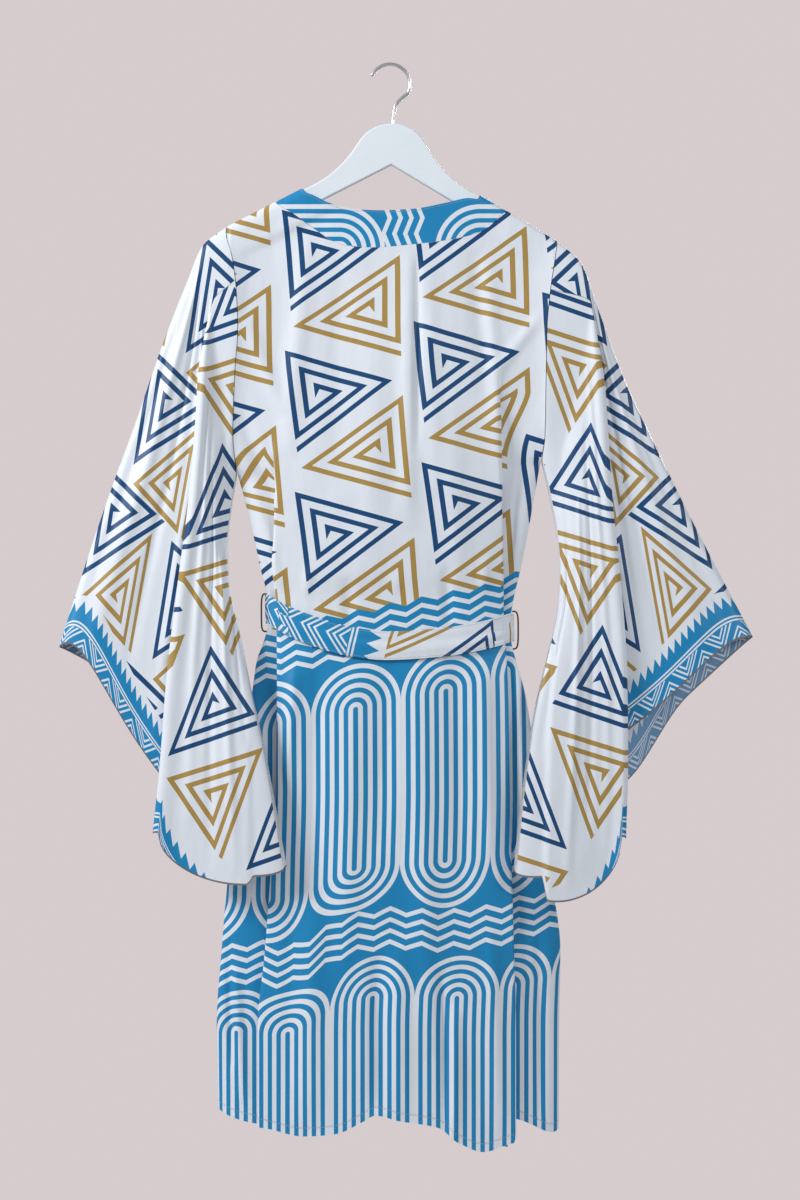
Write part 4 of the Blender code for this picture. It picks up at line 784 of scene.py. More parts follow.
def back_xy(place, z):
    """Back panel at a place across it (0 to 9) and a height."""
    left_x, left_recess = back_side(np.minimum(place, 4.0), z, -1)
    right_x, right_recess = back_side(np.minimum(9.0 - place, 4.0), z, 1)
    parts = [place <= 4.0, place >= 5.0]
    middle = np.clip(place - 4.0, 0.0, 1.0)
    x = np.select(parts, [left_x, right_x], left_x + (right_x - left_x) * middle)
    return x, np.select(parts, [left_recess, right_recess], 0.0) - body_depth(x, z, "back")


def back_top(place):
    """Height of the back's upper edge: shoulder seams over the arms and the neckline between them."""
    z = np.full(place.shape, TOP_FIRST_GUESS)
    for _ in range(5):
        z = shoulder_line(back_xy(place, z)[0])
    neck = smooth(NECKLINE["place"], NECKLINE["seam_z"], place)
    return np.where((place > 4.0) & (place < 5.0), neck, z)


def column_heights(hem, top):
    """Heights of a panel's rows: levels that take up the hem's shape near it, then on to its top edge."""
    levels = np.append(np.arange(HEM_LEVEL, UPPER_LEVEL, ROW_STEP), UPPER_LEVEL)[:, None]
    ease = np.maximum(0.0, (HEM_EASE_LEVEL - levels) / (HEM_EASE_LEVEL - HEM_LEVEL)) ** PANEL_POWER
    rest = 1.0 - (1.0 - np.linspace(0.0, 1.0, UPPER_ROWS + 1)[1:, None]) ** 2
    return np.concatenate([levels + (hem - HEM_LEVEL) * ease, UPPER_LEVEL + (top - UPPER_LEVEL) * rest])


def back_grid(place):
    """Middle surface of the back."""
    z = column_heights(smooth(BACK_HEM["place"], BACK_HEM["z"], place), back_top(place))
    x, y = back_xy(np.broadcast_to(place, z.shape), z)
    return np.stack([x, y, z], axis=-1)


def front_seam_x(z, side):
    """Where the band is sewn to a front; the right arm hangs lower, so its seam does too."""
    drop = shoulder_line(-NECK_POINT_X) - shoulder_line(side * NECK_POINT_X)
    level = z + drop * ramp((z - ARM_DROP_FROM) / ARM_DROP_OVER)
    return -side * smooth(FRONT_EDGE["z"], FRONT_EDGE["seam_x"], level)


def front_y(x, z, side):
    """Front surface: the left front lies over the right one where they overlap."""
    edge = smooth(FRONT_EDGE["z"], FRONT_EDGE["seam_x"], z) + BAND_WIDTH
    reach = (-side * x + edge + OVERLAP_RAMP + OVERLAP_LEAD) / OVERLAP_RAMP
    crossed = ramp((edge + CROSS_HALF) / (2.0 * CROSS_HALF))
    return body_depth(x, z, "front") - side * LAYER * ramp(reach) * crossed


def front_grid(side, place):
    """Middle surface of one front, from its side seam (0) to the seam of the band (1)."""
    hem = smooth(FRONT_HEM[side]["place"], FRONT_HEM[side]["z"], place)
    shoulder_x = SHOULDER_X[side]
    top = shoulder_line(shoulder_x + (side * NECK_POINT_X - shoulder_x) * place**PANEL_POWER)
    z = column_heights(hem, top)
    x = body_edge(z, side) + (front_seam_x(z, side) - body_edge(z, side)) * place**PANEL_POWER
    return np.stack([x, front_y(x, z, side), z], axis=-1)


def arm_direction(side):
    """Unit vector up along one arm of the hanger, in x and z."""
    slope = ARM_SLOPE + side * HANGER_TILT
    return np.array([-side * math.cos(slope), math.sin(slope)])


def band_side(front, side):
    """Rows of the band along one front edge, hem to shoulder."""
    x, z = front[:, -1, 0], front[:, -1, 2]
    run = (front_seam_x(z + SLOPE_STEP, side) - front_seam_x(z - SLOPE_STEP, side)) / (2.0 * SLOPE_STEP)
    out = np.stack([-side * np.ones(len(z)), side * run], axis=-1)
    out /= np.linalg.norm(out, axis=1)[:, None]
    below = shoulder_line(x) - z
    over = ramp(1.0 - below / (2.0 * CAP_DEPTH))[:, None]
    out = out * (1.0 - over) + arm_direction(side) * over
    width = (BAND_WIDTH + (BAND_TOP_WIDTH - BAND_WIDTH) * over)[:, 0]
    hem_drop = BAND_HEM_DROP[side] * ramp((BAND_DROP_FROM - z) / BAND_DROP_OVER)
    below = np.maximum(below, 0.0)
    rows = []
    for share in BAND_ACROSS:
        reach = SEAM_GAP + width * share
        px = x + out[:, 0] * reach
        pz = z + out[:, 1] * reach - hem_drop * share
        pz = np.minimum(pz, shoulder_line(px) - below * ramp(1.0 - below / CAP_DEPTH))
        rows.append(np.stack([px, front_y(px, pz, side), pz], axis=-1))
    return np.stack(rows, axis=1)


def band_back(back_row, places):
    """Rows of the band along the back neckline, left to right, from the panel's own top edge."""
    seam = back_row[:, [0, 2]]
    edge = (smooth(NECKLINE["place"], NECKLINE[name], places) for name in ("edge_x", "edge_z"))
    out = np.stack(list(edge), axis=-1) - seam
    width = np.linalg.norm(out, axis=1)[:, None]
    at_corner = np.minimum(places - 4.0, 5.0 - places)[:, None] < CORNER_PLACES
    gap = SEAM_GAP + NECK_CORNER_GAP * at_corner
    on_seam = (places == 4.0) | (places == 5.0)
    rows = []
    for share in BAND_ACROSS:
        px, pz = (seam + out / width * (gap + (width - gap) * share)).T
        pz = np.where(on_seam, shoulder_line(px), np.minimum(pz, shoulder_line(px)))
        rows.append(np.stack([px, np.where(on_seam, 0.0, -body_depth(px, pz, "back")), pz], axis=-1))
    return np.stack(rows, axis=1)


def sleeve_grid(side, near, far, down):
    """Middle surface of one sleeve: rows down it, each a ring over the near side and back by the far side."""
    rows = SLEEVES[side]
    v = np.concatenate([[0.0], down])[:, None]

    def row(name):
        return smooth(rows["at"], rows[name], v)

    outer, tuck, fold, inner, hidden = (
        np.stack([row(name + "_x"), row(name + "_z")], axis=-1)
        for name in ("outer", "tuck", "fold", "inner", "far")
    )
    u, s = near[None, :], near[None, :, None]
    wing, bell = np.clip(u, 0.0, 1.0), np.clip(u - 4.0, 0.0, 1.0)
    pleat = SLEEVE_PLEAT[side]
    past_start = np.clip((v - pleat["opens"]) / (1.0 - pleat["opens"]), 0.0, 1.0)
    pleat_at = pleat["start"] + (pleat["cuff"] - pleat["start"]) * past_start
    pleated = ramp((bell - pleat_at) / PLEAT_WIDTH) * ramp((v - pleat["opens"]) / PLEAT_OVER)

    across_fold = (fold - outer) * (1.0 - FLAT_TO_FOLD) + (inner - fold) * FLAT_PAST_FOLD
    flat = np.select([s < 1.0, s > 4.0], [
        outer + (fold - outer) * wing[..., None] * FLAT_TO_FOLD,
        fold + (inner - fold) * (FLAT_PAST_FOLD + (1.0 - FLAT_PAST_FOLD) * bell[..., None]),
    ], outer + (fold - outer) * FLAT_TO_FOLD + across_fold * ((s - 1.0) / 3.0))
    aside = tuck - fold
    aside = aside / np.maximum(np.linalg.norm(aside, axis=-1, keepdims=True), 1e-6)
    folded = np.select([s <= 1.0, s < 2.0, s <= 3.0, s < 4.0], [
        outer + (tuck - outer) * wing[..., None],
        tuck + aside * TURN * np.sin(np.pi * (s - 1.0)),
        tuck + (fold - tuck) * (s - 2.0),
        fold - aside * TURN * np.sin(np.pi * (s - 3.0)),
    ], fold + (inner - fold) * bell[..., None])
    recess = np.select([u <= 1.0, u < 2.0, u <= 3.0, u < 4.0], [
        STEP * ramp(wing),
        TURN * (3.0 + np.cos(np.pi * (u - 1.0))),
        2.0 * TURN,
        TURN * (1.0 + np.cos(np.pi * (u - 3.0))),
    ], 0.0)
    opened = ramp((v - SLEEVE_FOLD["opens"]) / SLEEVE_FOLD["over"])
    place = flat + (folded - flat) * opened[..., None]
    lean = bell**BELL_LEAN
    bow = (4.0 * lean * (1.0 - lean)) ** BELL_BOW_POWER * (1.0 - pleat["lift"] * pleated)
    rise = WING_BOW_SCALE * wing * (1.0 - wing) ** WING_BOW_POWER
    place[..., 1] += row("wing_bow") * rise - row("bell_bow") * bow

    back = far[None, :]
    turn = back[..., None]
    bend = 2.0 * hidden - 0.5 * (inner + outer)
    far_place = (1.0 - turn) ** 2 * inner + 2.0 * turn * (1.0 - turn) * bend + turn**2 * outer
    drop = ramp((FAR_CORNER - back) / FAR_CORNER_WIDTH) * ramp(back / FAR_DROP_EDGE)
    far_place[..., 1] -= FAR_DROP[side] * drop * ramp((v - FAR_DROP_FROM) / (1.0 - FAR_DROP_FROM))

    place = np.concatenate([place, far_place], axis=1)
    near_share = np.interp(u, (0.0, 1.0, 4.0, 5.0), (0.0, FOLD_STARTS, FOLD_ENDS, 1.0))
    share = np.concatenate([near_share, 1.0 - back], axis=1)
    facing = np.concatenate([-np.ones(u.shape), np.ones(back.shape)], axis=1)
    recess = np.pad(recess * opened + pleat["depth"] * pleated, ((0, 0), (0, len(far))))

    x, z = place[..., 0], place[..., 1]
    eased = ramp(v / ARMHOLE_EASE)
    gap = ARMHOLE_GAP + UNDERARM_GAP * ramp((UNDERARM_Z[side] + UNDERARM_REACH - z[0]) / UNDERARM_REACH)
    x = x + (body_edge(z[0], side) + side * gap - x[0]) * (1.0 - eased)
    oval = np.cbrt(np.maximum(1.0 - np.abs(2.0 * share - 1.0) ** 3, 0.0)) * row("half")
    open_edge = (share > 0.0) & (share < 1.0)
    depth = np.where(open_edge, armhole_depth(z[0], side) * (1.0 - eased) + oval * eased, 0.0)
    middle = row("outer_y") + (row("inner_y") - row("outer_y")) * share
    return np.stack([x, middle + facing * depth + recess, z], axis=-1)[1:]


def belt_grid(back_place, front_place):
    """Middle surface of the belt: the columns of the panels under it moved out, once round."""
    off = 0.5 * WALL + BELT_GAP + 0.5 * BELT_WALL
    band_end = front_seam_x(BELT_FRONT_Z, -1) + BAND_WIDTH
    rows, clear = [], None
    for share in BELT_ACROSS:
        rise = BELT_HEIGHT * (share - 0.5)
        z = np.full(back_place.shape, BELT_FRONT_Z)
        for _ in range(4):
            x = back_xy(back_place, z)[0]
            along = (2.0 * x - body_edge(z, -1) - body_edge(z, 1)) / (body_edge(z, 1) - body_edge(z, -1))
            z = smooth(BELT_BACK["across"], BELT_BACK["z"], along) + rise
        back = np.stack([x, -body_depth(x, z, "back") - off, z], axis=-1)
        back[0] = (x[0] - off, 0.0, z[0])
        back[-1] = (x[-1] + off, 0.0, z[-1])
        fronts = {}
        for side, end in ((1, z[-1]), (-1, z[0])):
            fz = np.full(front_place.shape, BELT_FRONT_Z)
            for _ in range(4):
                side_x = body_edge(fz, side)
                fx = side_x + (front_seam_x(fz, side) - side_x) * front_place**PANEL_POWER
                reach = np.clip(fx / side_x, 0.0, 1.0)
                fz = BELT_FRONT_Z + rise
                fz = fz + (end - fz) * reach**PANEL_POWER
            fronts[side] = np.stack([fx, body_depth(fx, fz, "front") + LAYER + off, fz], axis=-1)[1:]
        clear = fronts[1][:, 0] > band_end + BELT_CLEAR_OF_EDGE if clear is None else clear
        left = fronts[-1][::-1]
        bx = np.linspace(left[0, 0], band_end, BELT_BAND_COLUMNS)[:0:-1]
        bz = np.full(bx.shape, BELT_FRONT_Z + rise)
        bz = bz + (z[-1] - bz) * np.clip(bx / body_edge(bz, 1), 0.0, 1.0) ** PANEL_POWER
        band = np.stack([bx, body_depth(bx, bz, "front") + LAYER + off, bz], axis=-1)
        rows.append(np.concatenate([back, fronts[1][clear], band, left]))
    return np.stack(rows, axis=0)


def grid_normals(points, closed):
    """Unit normals of a grid of points; closed means its rows are rings."""
    if closed:
        along = np.roll(points, -1, axis=1) - np.roll(points, 1, axis=1)
    else:
        along = np.gradient(points, axis=1)
    down = np.gradient(points, axis=0)
    normal = np.cross(along, down)
    return normal / np.maximum(np.linalg.norm(normal, axis=2, keepdims=True), 1e-12)


def flattened(normals, where, axis):
    """Normals with the chosen ones turned into the plane of their seam."""
    chosen = np.where((np.arange(3) == axis)[None, :], 0.0, normals[where])
    turned = normals.copy()
    turned[where] = chosen / np.linalg.norm(chosen, axis=1, keepdims=True)
    return turned


def seam_normals(points, places, back):
    """Normals turned into the plane of the seam along armholes, side seams and shoulders."""
    z = points[..., 2]
    normals = grid_normals(points, closed=False)
    sides = ((0, -1), (-1, 1)) if back else ((0, -1 if points[0, 0, 0] < 0.0 else 1),)
    for column, side in sides:
        edge = np.zeros(z.shape, bool)
        edge[:, column] = True
        normals = flattened(normals, edge & (z > UNDERARM_Z[side]), 0)
        normals = flattened(normals, edge & (z <= UNDERARM_Z[side]), 1)
    top = np.zeros(z.shape, bool)
    top[-1] = (places <= 4.0) | (places >= 5.0) if back else True
    return flattened(normals, top, 1)


def rounded_outline(corners):
    """A closed outline from corners (x, z, radius, points), each rounded by an arc."""
    outline = []
    count = len(corners)
    for i, (x, z, radius, points) in enumerate(corners):
        corner = np.array([x, z])
        before = np.array(corners[i - 1][:2]) - corner
        after = np.array(corners[(i + 1) % count][:2]) - corner
        before /= np.linalg.norm(before)
        after /= np.linalg.norm(after)
        half = 0.5 * math.acos(float(np.clip(before @ after, -1.0, 1.0)))
        middle = (before + after) / np.linalg.norm(before + after)
        centre = corner + middle * radius / math.sin(half)
        start = corner + before * radius / math.tan(half) - centre
        end = corner + after * radius / math.tan(half) - centre
        sweep = math.pi - 2.0 * half
        turn = math.copysign(sweep, start[0] * end[1] - start[1] * end[0])
        for k in range(points):
            angle = turn * k / (points - 1)
            cos, sin = math.cos(angle), math.sin(angle)
            turned = (start[0] * cos - start[1] * sin, start[0] * sin + start[1] * cos)
            outline.append(centre + np.array(turned))
    return outline


def hanger_outline():
    """The hanger's outline from its slopes and sizes, upright about its own middle, then tilted."""
    apex = HUMP_RADIUS / math.cos(HUMP_SLOPE) - HUMP_RADIUS
    cloth_clear = (0.5 * WALL + HANGER_CLEARANCE) / math.cos(ARM_SLOPE)
    line_at_zero = CLOTH_LINE_Z - HANGER_TOP_Z - cloth_clear + CLOTH_LINE_X * math.tan(ARM_SLOPE)
    shoulder_x = (apex - line_at_zero) / (math.tan(HUMP_SLOPE) - math.tan(ARM_SLOPE))
    shoulder_z = apex - shoulder_x * math.tan(HUMP_SLOPE)
    tip_z = line_at_zero - HANGER_HALF_SPAN * math.tan(ARM_SLOPE)
    notch_z = line_at_zero - ARM_DEPTH / math.cos(ARM_SLOPE)
    drop_x, drop_z = ARM_DEPTH * math.sin(ARM_SLOPE), ARM_DEPTH * math.cos(ARM_SLOPE)
    half = [
        (shoulder_x, shoulder_z, FLARE_RADIUS, 24),
        (HANGER_HALF_SPAN, tip_z, ARM_TIP_RADIUS, 12),
        (HANGER_HALF_SPAN - drop_x, tip_z - drop_z, ARM_TIP_RADIUS, 12),
    ]
    corners = [(0.0, apex, HUMP_RADIUS, 48)] + half + [(0.0, notch_z, NOTCH_RADIUS, 8)]
    corners += [(-x, z, radius, points) for x, z, radius, points in reversed(half)]
    return [tilted(HANGER_CENTRE_X + x, HANGER_TOP_Z + z) for x, z in rounded_outline(corners)]


def arc_lengths(points, axis):
    """Running length along the rows (axis 1) or columns (axis 0) of a grid."""
    steps = np.linalg.norm(np.diff(points, axis=axis), axis=-1)
    return np.insert(np.cumsum(steps, axis=axis), 0, 0.0, axis=axis)


def level_lengths(points):
    """Running length along each row without its rise or fall."""
    flat = points.copy()
    flat[..., 2] = 0.0
    return arc_lengths(flat, 1)


def resampled(path, places):
    """A path read along a smooth curve through its points, at the places picked from its running length."""
    run = arc_lengths(path, 0)
    return np.stack([smooth(run, column, places(run)) for column in path.T], axis=-1)


def hook_path():
    """Middle line of the hook's wire, from its foot inside the hanger to its tip."""
    foot = (-SHANK_SINK, -0.5 * SHANK_SINK, 0.0, SHANK_RISE)
    angle = np.linspace(BAY_START, BAY_END, HOOK_ARC_POINTS)
    rows = np.concatenate([
        [tilted(HANGER_CENTRE_X, HANGER_TOP_Z + rise) for rise in foot],
        np.stack([SHANK_BEND["x"], SHANK_BEND["z"]], axis=-1),
        np.array(BAY_CENTRE) + BAY_RADIUS * np.stack([np.cos(angle), np.sin(angle)], axis=-1),
    ])
    path = np.insert(rows, 1, 0.0, axis=1)
    path = resampled(path, lambda run: np.append(run[:3], np.linspace(run[3], run[-1], HOOK_POINTS)))
    return resampled(path, lambda run: np.linspace(0.0, run[-1], WIRE_POINTS))


def thread_path(side):
    """A thread loop from the side seam round the belt's edge, drawn close to it."""
    top, bottom = LOOP_CENTRE_Z[side] + LOOP_HALF_HEIGHT, LOOP_CENTRE_Z[side] - LOOP_HALF_HEIGHT
    off = 0.5 * WALL + LOOP_GAP
    start = side * body_edge(top, side) + off
    widest = max(side * body_edge(z, side) for z in np.linspace(bottom, top, LOOP_LEVELS))
    out = widest + off + BELT_GAP + BELT_WALL + LOOP_RADIUS
    turn = np.linspace(0.0, np.pi, CORD_POINTS)
    reach = np.sin(turn) ** THREAD_SQUARENESS
    height = np.sign(np.cos(turn)) * np.abs(np.cos(turn)) ** THREAD_SQUARENESS
    x = side * (start + (out - start) * reach)
    return np.stack([x, 0.0 * x, LOOP_CENTRE_Z[side] + LOOP_HALF_HEIGHT * height], axis=-1)


def creases(a, b, rows):
    """Height of all creases of a table at places of the cloth."""
    height = np.zeros(np.broadcast(a, b).shape)
    for a0, b0, a1, b1, width, depth in zip(*rows.values()):
        run_a, run_b = a1 - a0, b1 - b0
        share = np.clip(((a - a0) * run_a + (b - b0) * run_b) / (run_a**2 + run_b**2), 0.0, 1.0)
        off = np.hypot(a - a0 - share * run_a, b - b0 - share * run_b)
        height += depth * np.exp(-((off / width) ** 2)) * (4.0 * share * (1.0 - share)) ** CREASE_END_POWER
    return height


def panel_creases(x, z, places, last, ease, rows):
    """Crease heights of a body panel: they fade at its seams and top edge, and ridges under the belt too."""
    free = ramp(places / ease) * ramp((last - places) / ease)
    height = creases(x, z, rows) * free * ramp((z[-1] - z) / CREASE_TOP_EASE) * CREASE_STRENGTH
    clear_of_belt = ramp((np.abs(z - UNDER_BELT_Z) - UNDER_BELT_HALF) / UNDER_BELT_SOFT)
    return np.where(height > 0.0, height * clear_of_belt, height)[..., None]


def quad_grid(rows, columns, closed):
    """Corner numbers of a grid, the vertex at each and its quads; a ring's last column is its first again."""
    places = np.arange(rows * columns).reshape(rows, columns)
    if closed:
        places = np.concatenate([places, places[:, :1]], axis=1)
    corners = np.arange(places.size).reshape(places.shape)
    face = np.stack([corners[:-1, :-1], corners[:-1, 1:], corners[1:, 1:], corners[1:, :-1]], axis=-1)
    return corners, places.reshape(-1), face.reshape(-1, 4)


def shell(name, points, normals, print_uv, edge_uv, wall, materials, out=1, closed=False):
    """A thin closed shell over a grid: the first material outside, the second on the reverse."""
    half = normals * (out * wall / 2.0)
    count = points.shape[0] * points.shape[1]
    corners, vertex_of, face = quad_grid(*points.shape[:2], closed)
    face = face[:, ::out]
    quads = [vertex_of[face], vertex_of[face[:, ::-1]] + count]
    texels = [face, face[:, ::-1]]
    rims = [corners[0, ::-1], corners[-1]] + ([] if closed else [corners[:, 0], corners[::-1, -1]])
    for rim in rims:
        start, end = (rim[:-1], rim[1:])[::out]
        ring = np.stack([start, end, end, start], axis=-1)
        quads.append(vertex_of[ring] + np.array([0, 0, count, count]))
        texels.append(ring)
    quads, texels = np.concatenate(quads), np.concatenate(texels)
    slots = np.arange(len(quads)) // len(face) == 1
    vertices = np.concatenate([(points + half).reshape(-1, 3), (points - half).reshape(-1, 3)])
    uvs = {"print": print_uv, "edge": edge_uv}
    return mesh_piece(name, vertices, quads.tolist(), materials, slots, uvs, texels)


def mesh_piece(name, vertices, faces, materials, slots=None, uvs=None, texels=None, sharp=True):
    """One smooth mesh object; texels pick a row of each UV array for every corner of the faces."""
    mesh = bpy.data.meshes.new(name)
    mesh.from_pydata(vertices.tolist(), [], faces)
    for material in materials:
        mesh.materials.append(material)
    if slots is not None:
        mesh.polygons.foreach_set("material_index", slots.astype(np.int32))
    for layer_name, uv in (uvs or {}).items():
        layer = mesh.uv_layers.new(name=layer_name)
        layer.data.foreach_set("uv", uv.reshape(-1, 2)[texels.reshape(-1)].astype(np.float32).reshape(-1))
    mesh.update()
    mesh.shade_smooth()
    if sharp:
        mesh.set_sharp_from_angle(angle=SHARP_ANGLE)
    piece = bpy.data.objects.new(name, mesh)
    bpy.context.scene.collection.objects.link(piece)
    return piece


def feed(tree, slot, value):
    """Gives a socket a number or colour, or links a term or another node's output to it."""
    value = value.socket if isinstance(value, Term) else value
    if isinstance(value, bpy.types.NodeSocket):
        tree.links.new(value, slot)
    else:
        slot.default_value = (*value, 1.0) if slot.type == "RGBA" else value


def new_node(tree, kind, inputs, **settings):
    """A shader node with its settings, its inputs fed by name or number."""
    node = tree.nodes.new("ShaderNode" + kind)
    for name, value in settings.items():
        setattr(node, name, value)
    for name, value in dict(inputs).items():
        feed(tree, node.inputs[name], value)
    return node


class Term:
    """A number worked out by a material's maths nodes."""

    def __init__(self, tree, socket):
        self.tree, self.socket = tree, socket

    def maths(self, operation, *others):
        node = new_node(self.tree, "Math", enumerate((self,) + others), operation=operation)
        return Term(self.tree, node.outputs[0])

    def __neg__(self):
        return self * -1.0

    def opposite(self):
        """1 where this is 0."""
        return -self + 1.0

    def wrapped(self, period):
        """The distance to the nearest multiple of a period, from minus half to plus half of it."""
        return self - (self / period + 0.5).floor() * period

    def zigzag(self, period):
        """0 to 1 and back over each period."""
        return (self.wrapped(period) * (2.0 / period)).magnitude()


def term_method(operation):
    return lambda term, *others: term.maths(operation, *others)


OPERATIONS = {
    "__add__": "ADD", "__sub__": "SUBTRACT", "__mul__": "MULTIPLY", "__truediv__": "DIVIDE",
    "__lt__": "LESS_THAN", "__gt__": "GREATER_THAN", "fraction": "FRACT", "floor": "FLOOR",
    "magnitude": "ABSOLUTE", "largest": "MAXIMUM", "smallest": "MINIMUM", "root": "SQRT",
}
for method, operation in OPERATIONS.items():
    setattr(Term, method, term_method(operation))


def spiral(x, y):
    """Line of a triangular spiral round the origin, apex to +x: each side steps a third of a pitch out."""
    x = x * SPIRAL_STRETCH
    slant = y * (0.5 * math.sqrt(3.0))
    sides = (-x, x * 0.5 + slant, x * 0.5 - slant)
    past = [(sides[(i + 1) % 3] - sides[i]) > SPIRAL_PITCH / 3.0 for i in range(3)]
    active = [past[i - 1] * past[i].opposite() for i in range(3)]
    turns = reduce(Term.__add__, [active[i] * (sides[i] / SPIRAL_PITCH - i / 3.0) for i in range(3)])
    on = reduce(Term.__add__, active)
    inside = sides[0] < (SPIRAL_TURNS - 1.0 + LINE_SHARE) * SPIRAL_PITCH
    return (turns.fraction() < LINE_SHARE) * on * inside * (turns < SPIRAL_TURNS) * (turns > SPIRAL_HEART)


def motif(x, y, layout, kind):
    """Spirals of one colour on a slanted lattice, each turned to its own axis and side."""
    centre, axis, side = layout[kind]
    across, up = layout["across"], layout["up"]
    x, y = x - centre[0], y - centre[1]
    cell = across[0] * up[1] - across[1] * up[0]
    mx, my = x - SPIRAL_MIDDLE * axis[0], y - SPIRAL_MIDDLE * axis[1]
    column = ((mx * up[1] - my * up[0]) / cell + 0.5).floor()
    row = ((my * across[0] - mx * across[1]) / cell + 0.5).floor()
    x = x - column * across[0] - row * up[0]
    y = y - column * across[1] - row * up[1]
    area = axis[0] * side[1] - axis[1] * side[0]
    return spiral((x * side[1] - y * side[0]) / area, (y * axis[0] - x * axis[1]) / area)


def spirals(tree, x, y, layout):
    """White cloth with navy and gold spirals."""
    return painted(tree, PALE, (motif(x, y, layout, "navy"), NAVY), (motif(x, y, layout, "gold"), GOLD))


def zigzag_lines(a, b, top):
    """White lines under a zigzag edge at a height, and all that is below the edge."""
    down = -(b - top) - a.zigzag(ZIGZAG_PERIOD) * ZIGZAG_HEIGHT
    inside = (down > 0.0) * (down < ZIGZAG_LINES * ZIGZAG_PITCH)
    return ((down / ZIGZAG_PITCH).fraction() > 1.0 - LINE_SHARE) * inside, down > 0.0


def loops(a, b, form):
    """Rings round upright bars: long loops, or arches where they have no half length and run on downwards."""
    aside = (a - form["first"]).wrapped(form["column"])
    above = b - form["centre"]
    if form["half"]:
        above = above.magnitude() - form["half"]
    above = above.largest(0.0)
    inward = -((aside * aside + above * above).root()) + form["radius"]
    return ((inward / form["pitch"]).fraction() < LOOP_SHARE) * (inward > 0.0)


def beside(u, v, line):
    """Distance to one side of a line."""
    u0, v0, across_u, across_v = line
    return (u - u0) * across_u + (v - v0) * across_v


def stripes(distance, lines):
    """Lines as wide as a spiral's, from a distance of zero on."""
    inside = (distance > 0.0) * (distance < lines * SPIRAL_PITCH)
    return ((distance / SPIRAL_PITCH).fraction() < LINE_SHARE) * inside


def stitching(along, off, half_width, share):
    """Stitches along a line, from the distance to it."""
    return (off.magnitude() < half_width) * ((along / STITCH_LENGTH).fraction() < share)


def cuff_border(along, edge, margin):
    """Coats of the border: bare margin, navy dots, toothed turquoise ground, white lines and hatching."""
    ground = edge < (along.zigzag(TOOTH_WIDTH) * TOOTH_HEIGHT + BORDER_SOLID_TOP)
    lines = reduce(Term.__add__, [(edge > low) * (edge < high) for low, high in BORDER_LINES])
    chevron = edge + along.zigzag(HATCH_PERIOD) * HATCH_RISE
    grouped = (chevron / HATCH_GROUP).fraction() < HATCH_SHARE
    hatch = ((chevron / HATCH_PITCH).fraction() < LINE_SHARE) * grouped * (edge < HATCH_TOP)
    across = (along + 0.5 * TOOTH_WIDTH).wrapped(TOOTH_WIDTH)
    up = edge - (BORDER_SOLID_TOP + TOOTH_HEIGHT - 0.5 * DOT_RISE)
    dots = (across * across + up * up).root() < DOT_RADIUS
    return (edge < margin, PALE), (dots, NAVY), (ground, TURQUOISE), ((lines + hatch) * ground, PALE)


def mixed(tree, mask, under, over):
    """A colour laid over another where a mask is 1."""
    return new_node(tree, "Mix", {"Factor": mask, "A": under, "B": over}, data_type="RGBA").outputs["Result"]


def painted(tree, colour, *coats):
    """A colour with others laid over it in turn, each where its mask is 1."""
    for mask, coat in coats:
        colour = mixed(tree, mask, colour, coat)
    return colour


def scaled(tree, colour, tone):
    """A colour made lighter or darker."""
    return new_node(tree, "VectorMath", {0: colour, "Scale": tone}, operation="SCALE").outputs[0]


def split(tree, vector):
    """The three parts of a vector."""
    parts = new_node(tree, "SeparateXYZ", {"Vector": vector})
    return [Term(tree, part) for part in parts.outputs]


def uv_terms(tree, layer):
    """Both coordinates of a UV layer, in metres."""
    uv = new_node(tree, "UVMap", {}, uv_map=layer)
    return split(tree, uv.outputs["UV"])[:2]


def noise(tree, x, y, z, scale, detail, roughness):
    """Fine noise over a place."""
    vector = new_node(tree, "CombineXYZ", enumerate((x, y, z))).outputs["Vector"]
    settings = {"Vector": vector, "Scale": scale, "Detail": detail, "Roughness": roughness}
    return Term(tree, new_node(tree, "TexNoise", settings).outputs["Fac"])


def combined(first, second, shares):
    """A sum of two noises by their shares, and a floor under it."""
    return first * shares[0] + second * shares[1] + shares[2]


def new_material(name, finish):
    material = bpy.data.materials.new(name)
    material.use_nodes = True
    surface = material.node_tree.nodes["Principled BSDF"]
    for slot, value in finish.items():
        surface.inputs[slot].default_value = value
    return material, material.node_tree, surface


def bumped(tree, surface, height):
    """A height in metres felt by the surface's shading."""
    bump = new_node(tree, "Bump", {"Height": height, "Distance": 1.0, "Strength": 1.0})
    feed(tree, surface.inputs["Normal"], bump.outputs["Normal"])


def cloth_material(name, pattern, reverse=False, **options):
    """Silky cloth with a pattern's colour and relief, a soft crumple, a fine weave and a slight sheen."""
    material, tree, surface = new_material(name, CLOTH_FINISH)
    (u, v), (along, edge) = uv_terms(tree, "print"), uv_terms(tree, "edge")
    colour, relief = pattern(tree, u, v, along, edge, **options)
    crumple = noise(tree, u, v * CRUMPLE_STRETCH, 0.0, *CRUMPLE_NOISE)
    fine = noise(tree, u, v, 0.0, *WEAVE_NOISE)
    bumped(tree, surface, crumple * CRUMPLE_DEPTH + fine * WEAVE_DEPTH + relief)
    tone = combined(noise(tree, u, v, 0.0, *TONE_NOISE), fine, CLOTH_TONE)
    colour = scaled(tree, colour, tone)
    feed(tree, surface.inputs["Base Color"], mixed(tree, REVERSE_FADE, colour, PALE) if reverse else colour)
    return material


